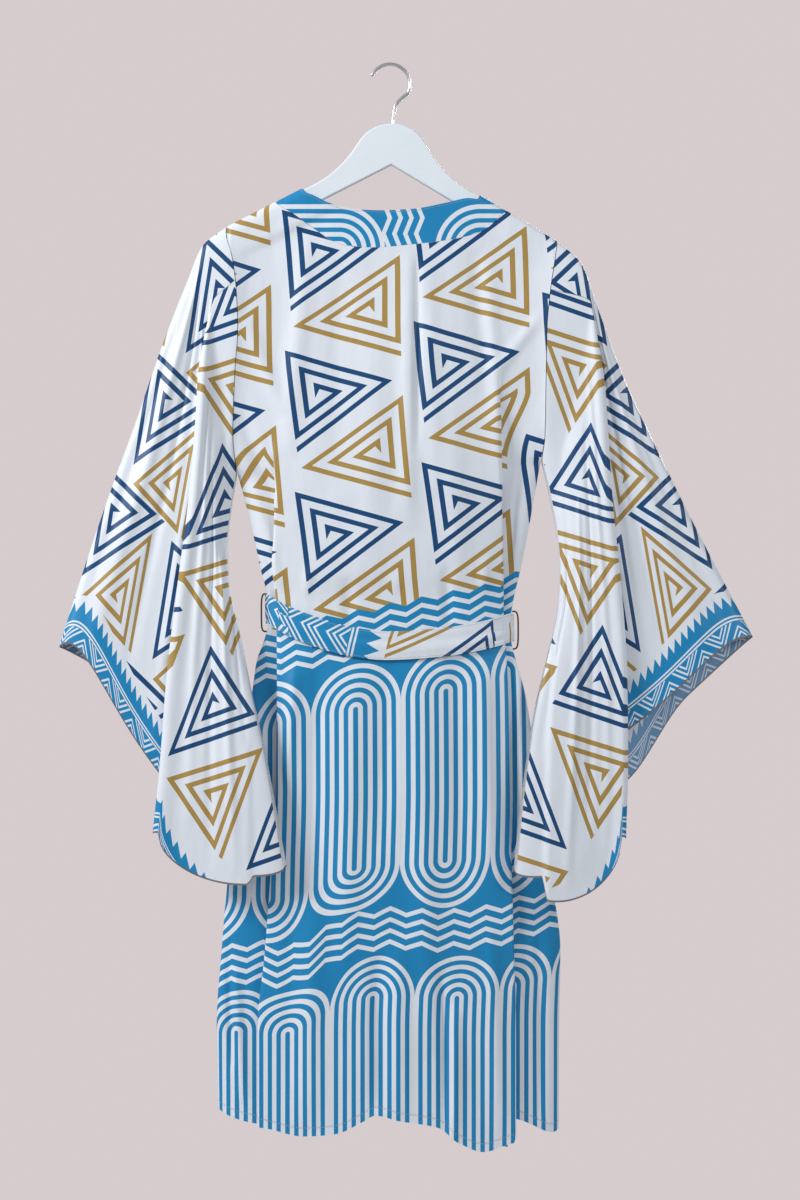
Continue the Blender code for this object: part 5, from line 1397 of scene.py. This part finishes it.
def robe_pattern(tree, u, v, along, edge):
    """Body cloth: spirals, then zigzags, long loops and arches on turquoise, and a stitched hem."""
    b = v - u * PRINT_SLOPE
    lines, below = zigzag_lines(u, b, TURQUOISE_TOP)
    more, _ = zigzag_lines(u, b, LOWER_ZIGZAG_TOP)
    white = lines.largest(more).largest(loops(u, b, LONG_LOOPS)).largest(loops(u, b, ARCHES))
    stitch = stitching(along, edge - HEM_FOLD, STITCH_WIDTH, HEM_STITCH_SHARE)
    colour = painted(tree, spirals(tree, u, v, BODY_SPIRALS), (below, TURQUOISE), (white, PALE),
                     (stitch * HEM_STITCH_TINT, STITCH))
    groove = (edge - HEM_FOLD).magnitude() < HEM_GROOVE_HALF
    return colour, (edge < HEM_FOLD) * HEM_FOLD_RISE - groove * HEM_GROOVE_DEPTH


def sleeve_pattern(tree, u, v, along, edge, layout, margin):
    """Sleeve cloth: spirals and the border that follows the cuff, with its overlocked edge."""
    near = edge + (along - BORDER_RUNS_OFF).largest(0.0).smallest(BORDER_RUN) * BORDER_SLANT
    bound = edge < OVERLOCK_WIDTH
    thread = (along / OVERLOCK_STEP + edge / OVERLOCK_LEAN).fraction() < OVERLOCK_SHARE
    tint = thread * OVERLOCK_TINT[1] + OVERLOCK_TINT[0]
    colour = painted(tree, spirals(tree, u, v, layout), *cuff_border(along, near, margin),
                     (bound * tint, OVERLOCK))
    return colour, bound * thread * OVERLOCK_RISE


def band_pattern(tree, u, v, along, edge):
    """Band cloth: the skirt's print turned, so that its loops run along the band."""
    away = (u - BAND_MIDDLE).magnitude()
    white, _ = zigzag_lines(v, u, BAND_ZIGZAG_END)
    for across in (u - BAND_MIDDLE, -(u - BAND_MIDDLE)):
        white = white.largest(loops(v, across, {**BAND_LOOPS, "centre": BAND_NEAR_LOOP}) * (across > 0.0))
    far = loops(v, (away - BAND_FAR_LOOP).wrapped(BAND_REPEAT), {**BAND_LOOPS, "centre": 0.0})
    beyond = away > BAND_FAR_LOOP - 0.5 * BAND_REPEAT
    stitch = stitching(u, edge - BAND_SEAM, SEAM_STITCH_HALF, SEAM_STITCH_SHARE)
    white = white * beyond.opposite() + far * beyond
    colour = painted(tree, TURQUOISE, (white, PALE), (stitch * SEAM_STITCH_TINT, STITCH))
    return colour, stitch * -SEAM_STITCH_DEPTH


def belt_pattern(tree, u, v, along, edge):
    """Belt cloth: border with its teeth at one end, large spirals beyond it."""
    gold, navy = (
        beside(u, v, one).smallest(beside(u, v, two)) for one, two in (BELT_GOLD_SIDES, BELT_NAVY_SIDES)
    )
    gold_lines = stripes(gold, BELT_CORNER_LINES).largest(stripes(beside(u, v, BELT_GOLD_TAIL), 1.0))
    hidden_part = u.magnitude() > BELT_BACK_HALF
    from_border = (u - v * BELT_BORDER_LEAN - BELT_BORDER_START) * BELT_BORDER_SCALE
    border = cuff_border((v + BELT_HATCH_SHIFT) * BELT_BORDER_SCALE, from_border, WING_MARGIN)
    stitch = stitching(u, edge - BELT_SEAM, SEAM_STITCH_HALF, SEAM_STITCH_SHARE)
    colour = painted(tree, PALE, (gold_lines, GOLD), (stripes(navy, BELT_CORNER_LINES), NAVY),
                     (hidden_part, spirals(tree, u, v + BELT_SPIRAL_SHIFT, BODY_SPIRALS)), *border,
                     (stitch * SEAM_STITCH_TINT, STITCH))
    return colour, stitch * -SEAM_STITCH_DEPTH


def cord_material(name):
    """Twisted thread, with painted shade in the hollows between its strands."""
    material, tree, surface = new_material(name, CORD_FINISH)
    u, v = uv_terms(tree, "print")
    # the strand profile gives the bump and also the painted shade: the colour darkens towards the hollows
    # between strands
    strand_rise_and_shade = ((u / CORD_TWIST + v * 2.0).fraction() - 0.5).magnitude()
    feed(tree, surface.inputs["Base Color"], mixed(tree, strand_rise_and_shade * CORD_PAINTED_LIGHT_SHARE, CORD_HOLLOW_SHADE, CORD))
    bumped(tree, surface, strand_rise_and_shade * CORD_STRAND_RISE)
    return material


def paint_material(name):
    """White paint over wood: faint grain and a soft gloss."""
    material, tree, surface = new_material(name, PAINT_FINISH)
    x, y, z = split(tree, new_node(tree, "TexCoord", {}).outputs["Object"])
    grain = noise(tree, x * GRAIN_STRETCH, y, z, *GRAIN_NOISE)
    broad = noise(tree, x, y, z, *BRUSH_NOISE)
    bumped(tree, surface, grain * GRAIN_DEPTH + broad * BRUSH_DEPTH)
    feed(tree, surface.inputs["Base Color"], scaled(tree, PAINT, combined(grain, broad, PAINT_TONE)))
    feed(tree, surface.inputs["Roughness"], combined(grain, broad, PAINT_ROUGHNESS))
    return material


def steel_material(name):
    """Plated wire with faint drawing marks along it."""
    material, tree, surface = new_material(name, STEEL_FINISH)
    u, v = uv_terms(tree, "print")
    marks = noise(tree, u * DRAWING_STRETCH[0], v * DRAWING_STRETCH[1], 0.0, *DRAWING_NOISE)
    dull = noise(tree, u, v * DULL_STRETCH, 0.0, *DULL_NOISE)
    bumped(tree, surface, marks * DRAWING_DEPTH)
    feed(tree, surface.inputs["Roughness"], combined(dull, marks, STEEL_ROUGHNESS))
    feed(tree, surface.inputs["Base Color"], scaled(tree, STEEL, combined(dull, marks, STEEL_TONE)))
    return material


def spread(*ends_and_cells):
    """Places from runs of (start, end, cells)."""
    places = [np.linspace(start, end, cells, endpoint=False) for start, end, cells in ends_and_cells]
    return np.append(np.concatenate(places), ends_and_cells[-1][1])


def fine_back_places():
    """Places across the back: side strip, fold, the middle with the neckline's own places, fold and strip."""
    left = spread((0.0, 1.0, BACK_STRIP_CELLS), *FOLD_RUNS)[:-1]
    middle = np.concatenate([NECKLINE["place"], np.linspace(4.0, 5.0, BACK_MIDDLE_CELLS + 1)])
    return np.concatenate([left, np.unique(np.round(middle, 6)), (9.0 - left)[::-1]])


def build_back(materials):
    places = fine_back_places()
    points = back_grid(places)
    x, z = points[..., 0], points[..., 2]
    normals = seam_normals(points, places, back=True)
    run = level_lengths(points)
    u = run - np.array([np.interp(4.5, places, row) for row in run])[:, None]
    lift = smooth(PRINT_LIFT["place"], PRINT_LIFT["lift"], u) * ramp((LIFT_FROM_Z - z) / LIFT_FULL)
    uv, edge = np.stack([u, z - lift], axis=-1), np.stack([u, z - z[:1]], axis=-1)
    raised = points + normals * panel_creases(x, z, places, 9.0, BACK_CREASE_EASE, BACK_CREASES)
    piece = shell("robe_back", raised, normals, uv, edge, SHELL_WALL, materials)
    neck = (places >= 4.0) & (places <= 5.0)
    return piece, places[neck], points[-1, neck], normals[-1, neck]


def build_front(side, materials):
    places = np.linspace(0.0, 1.0, FRONT_CELLS + 1)
    points = front_grid(side, places)
    x, z = points[..., 0], points[..., 2]
    normals = seam_normals(points, places, back=False)
    run = level_lengths(points)
    u = side * (FRONT_PRINT_SHIFT - run + run[:, :1])
    uv, edge = np.stack([u, z], axis=-1), np.stack([u, z - z[:1]], axis=-1)
    height = panel_creases(-side * x, z, places, 1.0, FRONT_CREASE_EASE, FRONT_CREASES)
    raised = points + normals * side * height * FRONT_CREASE_SHARE[side]
    name = "robe_front_left" if side < 0 else "robe_front_right"
    return shell(name, raised, normals, uv, edge, SHELL_WALL, materials, out=side), points, normals[:, -1]


def build_band(left, right, neck, materials):
    """One long band up the left front, round the neck and down the right front."""
    (_, left_points, left_normals), (_, right_points, right_normals) = left, right
    neck_places, neck_row, neck_normals = neck
    first, last = band_side(left_points, -1)[:-1], band_side(right_points, 1)[:-1][::-1]
    points = np.concatenate([first, band_back(neck_row, neck_places), last])
    normals = grid_normals(points, closed=False)
    seam = np.concatenate([left_normals[:-1], neck_normals, right_normals[:-1][::-1]])
    normals[:, 0] = seam * np.sign(np.sum(seam * normals[:, 0], axis=1, keepdims=True))
    middle = points[:, BAND_CELLS // 2:BAND_CELLS // 2 + 1]
    run, middle_x = arc_lengths(middle, 0), middle[:, 0, 0]
    start, end = len(first), len(points) - len(last) - 1
    on_left = run < run[start]
    u = np.where(on_left, run - run[start] + middle_x[start], run - run[end] + middle_x[end])
    v = arc_lengths(points, 1)
    past = np.maximum(run[start] - run, run - run[end])
    left_rise, right_rise = (points[row, 0, 2] - BAND_LOOP_AXIS_Z for row in (start, end))
    rise = np.where(on_left, left_rise, right_rise) * (1.0 - ramp(past / BAND_PRINT_TURN))
    on_back = past <= 0.0
    v_print = np.where(on_back, points[..., 2] - BAND_LOOP_AXIS_Z, v + rise)
    uv = np.stack([np.where(on_back, points[..., 0], u), v_print], axis=-1)
    edge = np.stack([np.broadcast_to(run, v.shape), v[:, -1:] - v], axis=-1)
    return shell("robe_band", points, normals, uv, edge, SHELL_WALL, materials, out=-1)


def print_plane(points, side, part):
    """Print coordinates of a sleeve's points from one spiral's centre, mirrored on the right sleeve."""
    x0, z0 = SLEEVE_PRINT[side][part]
    return np.stack([-side * (points[..., 0] - x0), points[..., 2] - z0], axis=-1)


def sleeve_height(side, near, far, down):
    """Crease height round a sleeve: its creases, the lifted edge of the fold and the pressed tuck."""
    u, v = near[None, :], down[:, None]
    past_fold = np.maximum(np.abs(u - 3.5) - 0.5, 0.0)
    lifted = FOLD_LIFT * np.exp(-((past_fold / FOLD_LIFT_WIDTH) ** 2)) * (u > 2.5)
    pressed = FOLD_PRESS * np.exp(-(((1.0 - u) / FOLD_PRESS_WIDTH) ** 2)) * (u < 1.5)
    near_side = creases(u, v, SLEEVE_CREASES[side]) * SLEEVE_CREASE_STRENGTH
    near_side = near_side + (lifted - pressed) * ramp(v / SLEEVE_HEAD_CLEAR)
    height = np.concatenate([near_side, creases(far[None, :], v, FAR_CREASES)], axis=1)
    return height * ramp(v / SLEEVE_HEAD_CLEAR)


def build_sleeve(side, materials):
    near = spread((0.0, 1.0, WING_CELLS), *FOLD_RUNS, (4.0, 5.0, BELL_CELLS))[:-1]
    far = np.linspace(0.0, 1.0, FAR_CELLS, endpoint=False)
    down = 1.0 - (1.0 - np.linspace(0.0, 1.0, SLEEVE_ROWS + 1)) ** SLEEVE_ROW_POWER
    points = sleeve_grid(side, near, far, down)
    first = np.zeros(points.shape[:2], bool)
    first[0] = True
    normals = flattened(grid_normals(points, closed=True), first, 0)
    raised = points + normals * (side * sleeve_height(side, near, far, down))[..., None]
    ring = np.concatenate([points, points[:, :1]], axis=1)
    run = arc_lengths(ring, 1)
    at_fold = np.searchsorted(near, 3.999)
    u = run - run[:, at_fold:at_fold + 1]
    along = np.where(np.arange(u.shape[1]) < len(near), u[-1], u[-1, 0] + u[-1, -1] - u[-1])
    edge = np.stack([np.broadcast_to(along, u.shape), arc_lengths(ring[::-1], 0)[::-1]], axis=-1)
    on_bell = np.concatenate([near, far - 1.0, [0.0]]) >= BELL_FROM
    uv = np.where(on_bell[:, None], print_plane(ring, side, "bell"), print_plane(ring, side, "wing"))
    name = "robe_sleeve_left" if side < 0 else "robe_sleeve_right"
    piece = shell(name, raised, normals, uv, edge, SHELL_WALL, materials, out=side, closed=True)
    wing_face = np.tile(~on_bell[:-1], len(down) - 1)
    slots = np.zeros(len(piece.data.polygons), np.int32)
    piece.data.polygons.foreach_get("material_index", slots)
    slots[:len(wing_face)][wing_face] = 2
    piece.data.polygons.foreach_set("material_index", slots)
    return piece


def build_belt(material):
    back = fine_back_places()
    plain = back[(back <= 1.0) | ((back >= 4.0) & (back <= 5.0)) | (back >= 8.0)]
    points = belt_grid(plain, np.linspace(0.0, 1.0, BELT_FRONT_CELLS + 1))
    normals = grid_normals(points, closed=True)
    share = BELT_ACROSS[:, None]
    ring = np.concatenate([points, points[:, :1]], axis=1)
    middle = points[BELT_CELLS // 2]
    run = arc_lengths(ring[BELT_CELLS // 2:BELT_CELLS // 2 + 1], 1)
    centre = int(np.argmin(np.where(middle[:, 1] < 0.0, np.abs(middle[:, 0]), 1.0)))
    u = np.broadcast_to(run - run[:, centre:centre + 1], ring.shape[:2])
    wave = creases(u[:, :-1], share, BELT_CREASES)
    raised = points + normals * (wave - BELT_SWELL * np.abs(2.0 * share - 1.0) ** 3.0)[..., None]
    v = np.broadcast_to((share - 0.5) * BELT_HEIGHT, u.shape)
    rim = np.broadcast_to(np.minimum(share, 1.0 - share) * BELT_HEIGHT, u.shape)
    uv, edge = np.stack([u, v], axis=-1), np.stack([u, rim], axis=-1)
    return shell("tied_belt", raised, normals, uv, edge, BELT_SHELL_WALL, (material, material), closed=True)


def build_tail(name, material):
    """One end of the belt, hanging over the outer front."""
    tail = TAILS[name]
    length, width = tail["length"], tail["width"]
    share, s = np.meshgrid(np.linspace(0.0, 1.0, TAIL_CELLS + 1), np.linspace(0.0, 1.0, TAIL_ROWS + 1))
    slant = TAIL_SLANT * (share - 0.5) * ramp((s - TAIL_SLANT_FROM) / (1.0 - TAIL_SLANT_FROM))
    z = BELT_FRONT_Z - 0.5 * KNOT_SIZE[2] - LAY_GAP - length * s + slant
    pinch = TAIL_PINCH + (1.0 - TAIL_PINCH) * ramp(4.0 * s)
    x = tail["x"] + tail["lean"] * s + width * (share - 0.5) * pinch
    points = np.stack([x, front_y(x, z, -1) + 0.5 * WALL + LAY_GAP + 0.5 * BELT_WALL, z], axis=-1)
    normals = grid_normals(points, closed=False)
    pleat = TAIL_PLEAT * np.cos(3.0 * np.pi * (share - 0.5)) * (1.0 - ramp(s / TAIL_PLEAT_END))
    down, over, lean = TAIL_WAVE_TURNS
    wave = np.sin(down * s + over * share + lean * tail["lean"]) + 1.0
    wave = TAIL_WAVE * wave * ramp(s / TAIL_WAVE_EASE)
    points = points + normals * (pleat + wave)[..., None]
    u = TAIL_PRINT_START + s * length
    rim = np.minimum(np.minimum(share, 1.0 - share) * width, (1.0 - s) * length)
    uv, edge = np.stack([u, (share - 0.5) * width], axis=-1), np.stack([u, rim], axis=-1)
    return shell(name, points, normals, uv, edge, BELT_SHELL_WALL, (material, material))


def build_knot(material):
    """The knot: a soft lump with a turn of the belt wrapped down over it."""
    belt_front = body_depth(KNOT_X, BELT_FRONT_Z, "front") + LAYER + 0.5 * WALL + BELT_GAP + BELT_WALL
    centre = np.array([KNOT_X, float(belt_front) + LAY_GAP + 0.5 * KNOT_SIZE[1], BELT_FRONT_Z])
    polar = np.linspace(0.0, np.pi, KNOT_RINGS + 1)[1:-1, None]
    turn = np.linspace(0.0, 2.0 * np.pi, KNOT_SIDES + 1)[None, :-1]

    def rounded(value):
        return np.sign(value) * np.abs(value) ** KNOT_SOFTNESS

    ring = rounded(np.sin(polar))
    parts = (rounded(np.cos(turn)) * ring, rounded(np.sin(turn)) * ring, rounded(np.cos(polar)))
    direction = np.stack(np.broadcast_arrays(*parts), axis=-1)
    x, z = direction[..., 0], direction[..., 2]
    slant = x * WRAP_LEAN[0] + z * WRAP_LEAN[1]
    wrap = ramp((WRAP_HALF - np.abs(slant)) / WRAP_SOFT)
    across = z * WRAP_LEAN[0] - x * WRAP_LEAN[1]
    loose, wound = (depth * np.cos(turns * off) for (depth, turns), off in
                    ((KNOT_FOLDS, across), (WRAP_FOLDS, slant)))
    folds = loose * (1.0 - wrap) + wound * wrap
    size = np.array(KNOT_SIZE) / 2.0
    points = centre + direction * size * (KNOT_INNER + WRAP_RISE * wrap + folds)[..., None]
    points[..., 1] = np.maximum(points[..., 1], centre[1] - size[1] * KNOT_BACK_SHARE)
    poles = centre + np.array([[0.0, 0.0, 1.0], [0.0, 0.0, -1.0]]) * size[2] * KNOT_POLE_SHARE
    rows, columns = x.shape
    _, vertex_of, face = quad_grid(rows, columns, closed=True)
    faces = vertex_of[face[:, [0, 3, 2, 1]]].tolist()
    top, bottom = vertex_of[:columns + 1].tolist(), vertex_of[-columns - 1:].tolist()
    faces += [[rows * columns, top[k], top[k + 1]] for k in range(columns)]
    faces += [[rows * columns + 1, bottom[k + 1], bottom[k]] for k in range(columns)]
    vertices = np.concatenate([points.reshape(-1, 3), poles])
    uv = vertices[:, [0, 2]] - centre[[0, 2]] + np.array([KNOT_PRINT_START, 0.0])
    edge = vertices[:, [0, 2]] * (1.0, 0.0) + (0.0, KNOT_RIM)
    return mesh_piece("belt_knot_cloth", vertices, faces, (material,), None, {"print": uv, "edge": edge},
                      np.concatenate(faces), sharp=False)


def round_rod(name, path, radius, sides, material):
    """A round rod with rounded ends along a path in the XZ plane, printed by its length and turn."""
    along = np.gradient(path, axis=0)
    along /= np.linalg.norm(along, axis=1)[:, None]
    bend = np.linspace(0.0, 0.5 * np.pi, ROD_END_RINGS + 1)[:-1, None]
    ends = radius * np.cos(bend)
    centres = np.concatenate([path[0] - along[0] * ends, path, path[-1] + along[-1] * ends[::-1]])
    along = np.pad(along, ((ROD_END_RINGS, ROD_END_RINGS), (0, 0)), mode="edge")
    share = np.concatenate([np.sin(bend), np.ones((len(path), 1)), np.sin(bend)[::-1]])
    reach = radius * np.maximum(share, ROD_END_SHARE)
    turn = (2.0 * np.pi * np.arange(sides) / sides)[:, None]
    aside = np.array([0.0, 1.0, 0.0])
    spokes = np.cos(turn) * np.cross(along, aside)[:, None] + np.sin(turn) * aside
    points = centres[:, None] + reach[:, None] * spokes
    _, vertex_of, face = quad_grid(len(points), sides, closed=True)
    run = arc_lengths(centres, 0)[:, None]
    uv = np.stack(np.broadcast_arrays(run, np.linspace(0.0, 1.0, sides + 1)), axis=-1)
    faces = vertex_of[face].tolist()
    return mesh_piece(name, points.reshape(-1, 3), faces, (material,), None, {"print": uv}, face)


def build_hanger(material):
    outline = hanger_outline()
    count = len(outline)
    half = HANGER_THICKNESS / 2.0
    vertices = np.array([(x, y, z) for y in (-half, half) for x, z in outline])
    faces = [list(range(count))[::-1], list(range(count, 2 * count))]
    faces += [[i, (i + 1) % count, count + (i + 1) % count, count + i] for i in range(count)]
    hanger = mesh_piece("painted_hanger", vertices, faces, (material,), sharp=False)
    bevel = hanger.modifiers.new("soft edges", "BEVEL")
    bevel.width = HANGER_EDGE_RADIUS
    bevel.segments = HANGER_EDGE_SEGMENTS
    bevel.limit_method = "ANGLE"
    bevel.angle_limit = SHARP_ANGLE
    bevel.harden_normals = True
    return hanger


def area_light(name, place, size, power):
    lamp = bpy.data.lights.new(name, "AREA")
    lamp.shape = "RECTANGLE"
    lamp.size = lamp.size_y = size
    lamp.energy = power
    light = bpy.data.objects.new(name, lamp)
    light.location = place
    light.rotation_euler = (Vector(LIGHT_AIM) - Vector(place)).to_track_quat("-Z", "Y").to_euler()
    bpy.context.scene.collection.objects.link(light)


def build_stage():
    """A plain pale floor well below the hem, a plain backdrop colour and soft studio light."""
    bpy.ops.mesh.primitive_plane_add(size=FLOOR_SIZE, location=(0.0, 0.0, FLOOR_Z))
    floor = bpy.context.object
    floor.name = "studio_floor"
    material, _, _ = new_material("pale floor", {"Roughness": 0.7, "Base Color": (*BACKDROP, 1.0)})
    floor.data.materials.append(material)
    world = bpy.data.worlds.new("studio")
    world.use_nodes = True
    tree = world.node_tree
    seen = tree.nodes["Background"].outputs["Background"]
    tree.nodes["Background"].inputs["Color"].default_value = (*BACKDROP, 1.0)
    glow = {"Color": AMBIENT, "Strength": AMBIENT_STRENGTH}
    ambient = new_node(tree, "Background", glow).outputs["Background"]
    at_camera = new_node(tree, "LightPath", {}).outputs["Is Camera Ray"]
    both = new_node(tree, "MixShader", {"Fac": at_camera, 1: ambient, 2: seen})
    tree.links.new(both.outputs["Shader"], tree.nodes["World Output"].inputs["Surface"])
    bpy.context.scene.world = world
    bpy.context.scene.view_settings.view_transform = "Standard"
    for name, light in LIGHTS.items():
        area_light(name, **light)


def build_camera():
    """The photograph's view: level, from straight behind the robe."""
    lens = bpy.data.cameras.new("camera")
    lens.sensor_fit = "VERTICAL"
    lens.sensor_height = SENSOR_HEIGHT
    lens.lens = SENSOR_HEIGHT * CAMERA_DISTANCE / FRAME_HEIGHT
    camera = bpy.data.objects.new("camera", lens)
    camera.location = (FRAME_CENTRE[0], -CAMERA_DISTANCE, FRAME_CENTRE[1])
    camera.rotation_euler = (0.5 * math.pi, 0.0, 0.0)
    bpy.context.scene.collection.objects.link(camera)
    bpy.context.scene.camera = camera


def declare(piece):
    node, slot_name, *sheet = PIECES[piece.name]
    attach(piece, "root")
    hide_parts(node)


def build():
    robe = (cloth_material("printed robe cloth", robe_pattern),
            cloth_material("reverse of the robe cloth", robe_pattern, reverse=True))
    wing_print = {"layout": WING_SPIRALS, "margin": WING_MARGIN}
    bell_print = {"layout": BELL_SPIRALS, "margin": BELL_MARGIN}
    sleeve = (cloth_material("printed cloth of the bell", sleeve_pattern, **bell_print),
              cloth_material("reverse of the sleeve cloth", sleeve_pattern, reverse=True, **wing_print),
              cloth_material("printed cloth of the wing", sleeve_pattern, **wing_print))
    band = (cloth_material("printed band cloth", band_pattern),
            cloth_material("reverse of the band cloth", band_pattern, reverse=True))
    belt_cloth = cloth_material("printed belt cloth", belt_pattern)
    cord = cord_material("loop thread")

    back, *neck = build_back(robe)
    left, right = build_front(-1, robe), build_front(1, robe)
    pieces = [back, left[0], right[0], build_band(left, right, neck, band)]
    pieces += [build_sleeve(side, sleeve) for side in (-1, 1)]
    pieces += [build_belt(belt_cloth), build_knot(belt_cloth)]
    pieces += [build_tail(name, belt_cloth) for name in TAILS]
    for side, name in ((-1, "thread_loop_left"), (1, "thread_loop_right")):
        pieces.append(round_rod(name, thread_path(side), LOOP_RADIUS, CORD_SIDES, cord))
    pieces.append(build_hanger(paint_material("white hanger paint")))
    pieces.append(round_rod("wire_hook", hook_path(), WIRE_RADIUS, WIRE_SIDES, steel_material("plated wire")))
    for piece in pieces:
        declare(piece)
    build_stage()
    build_camera()


build()
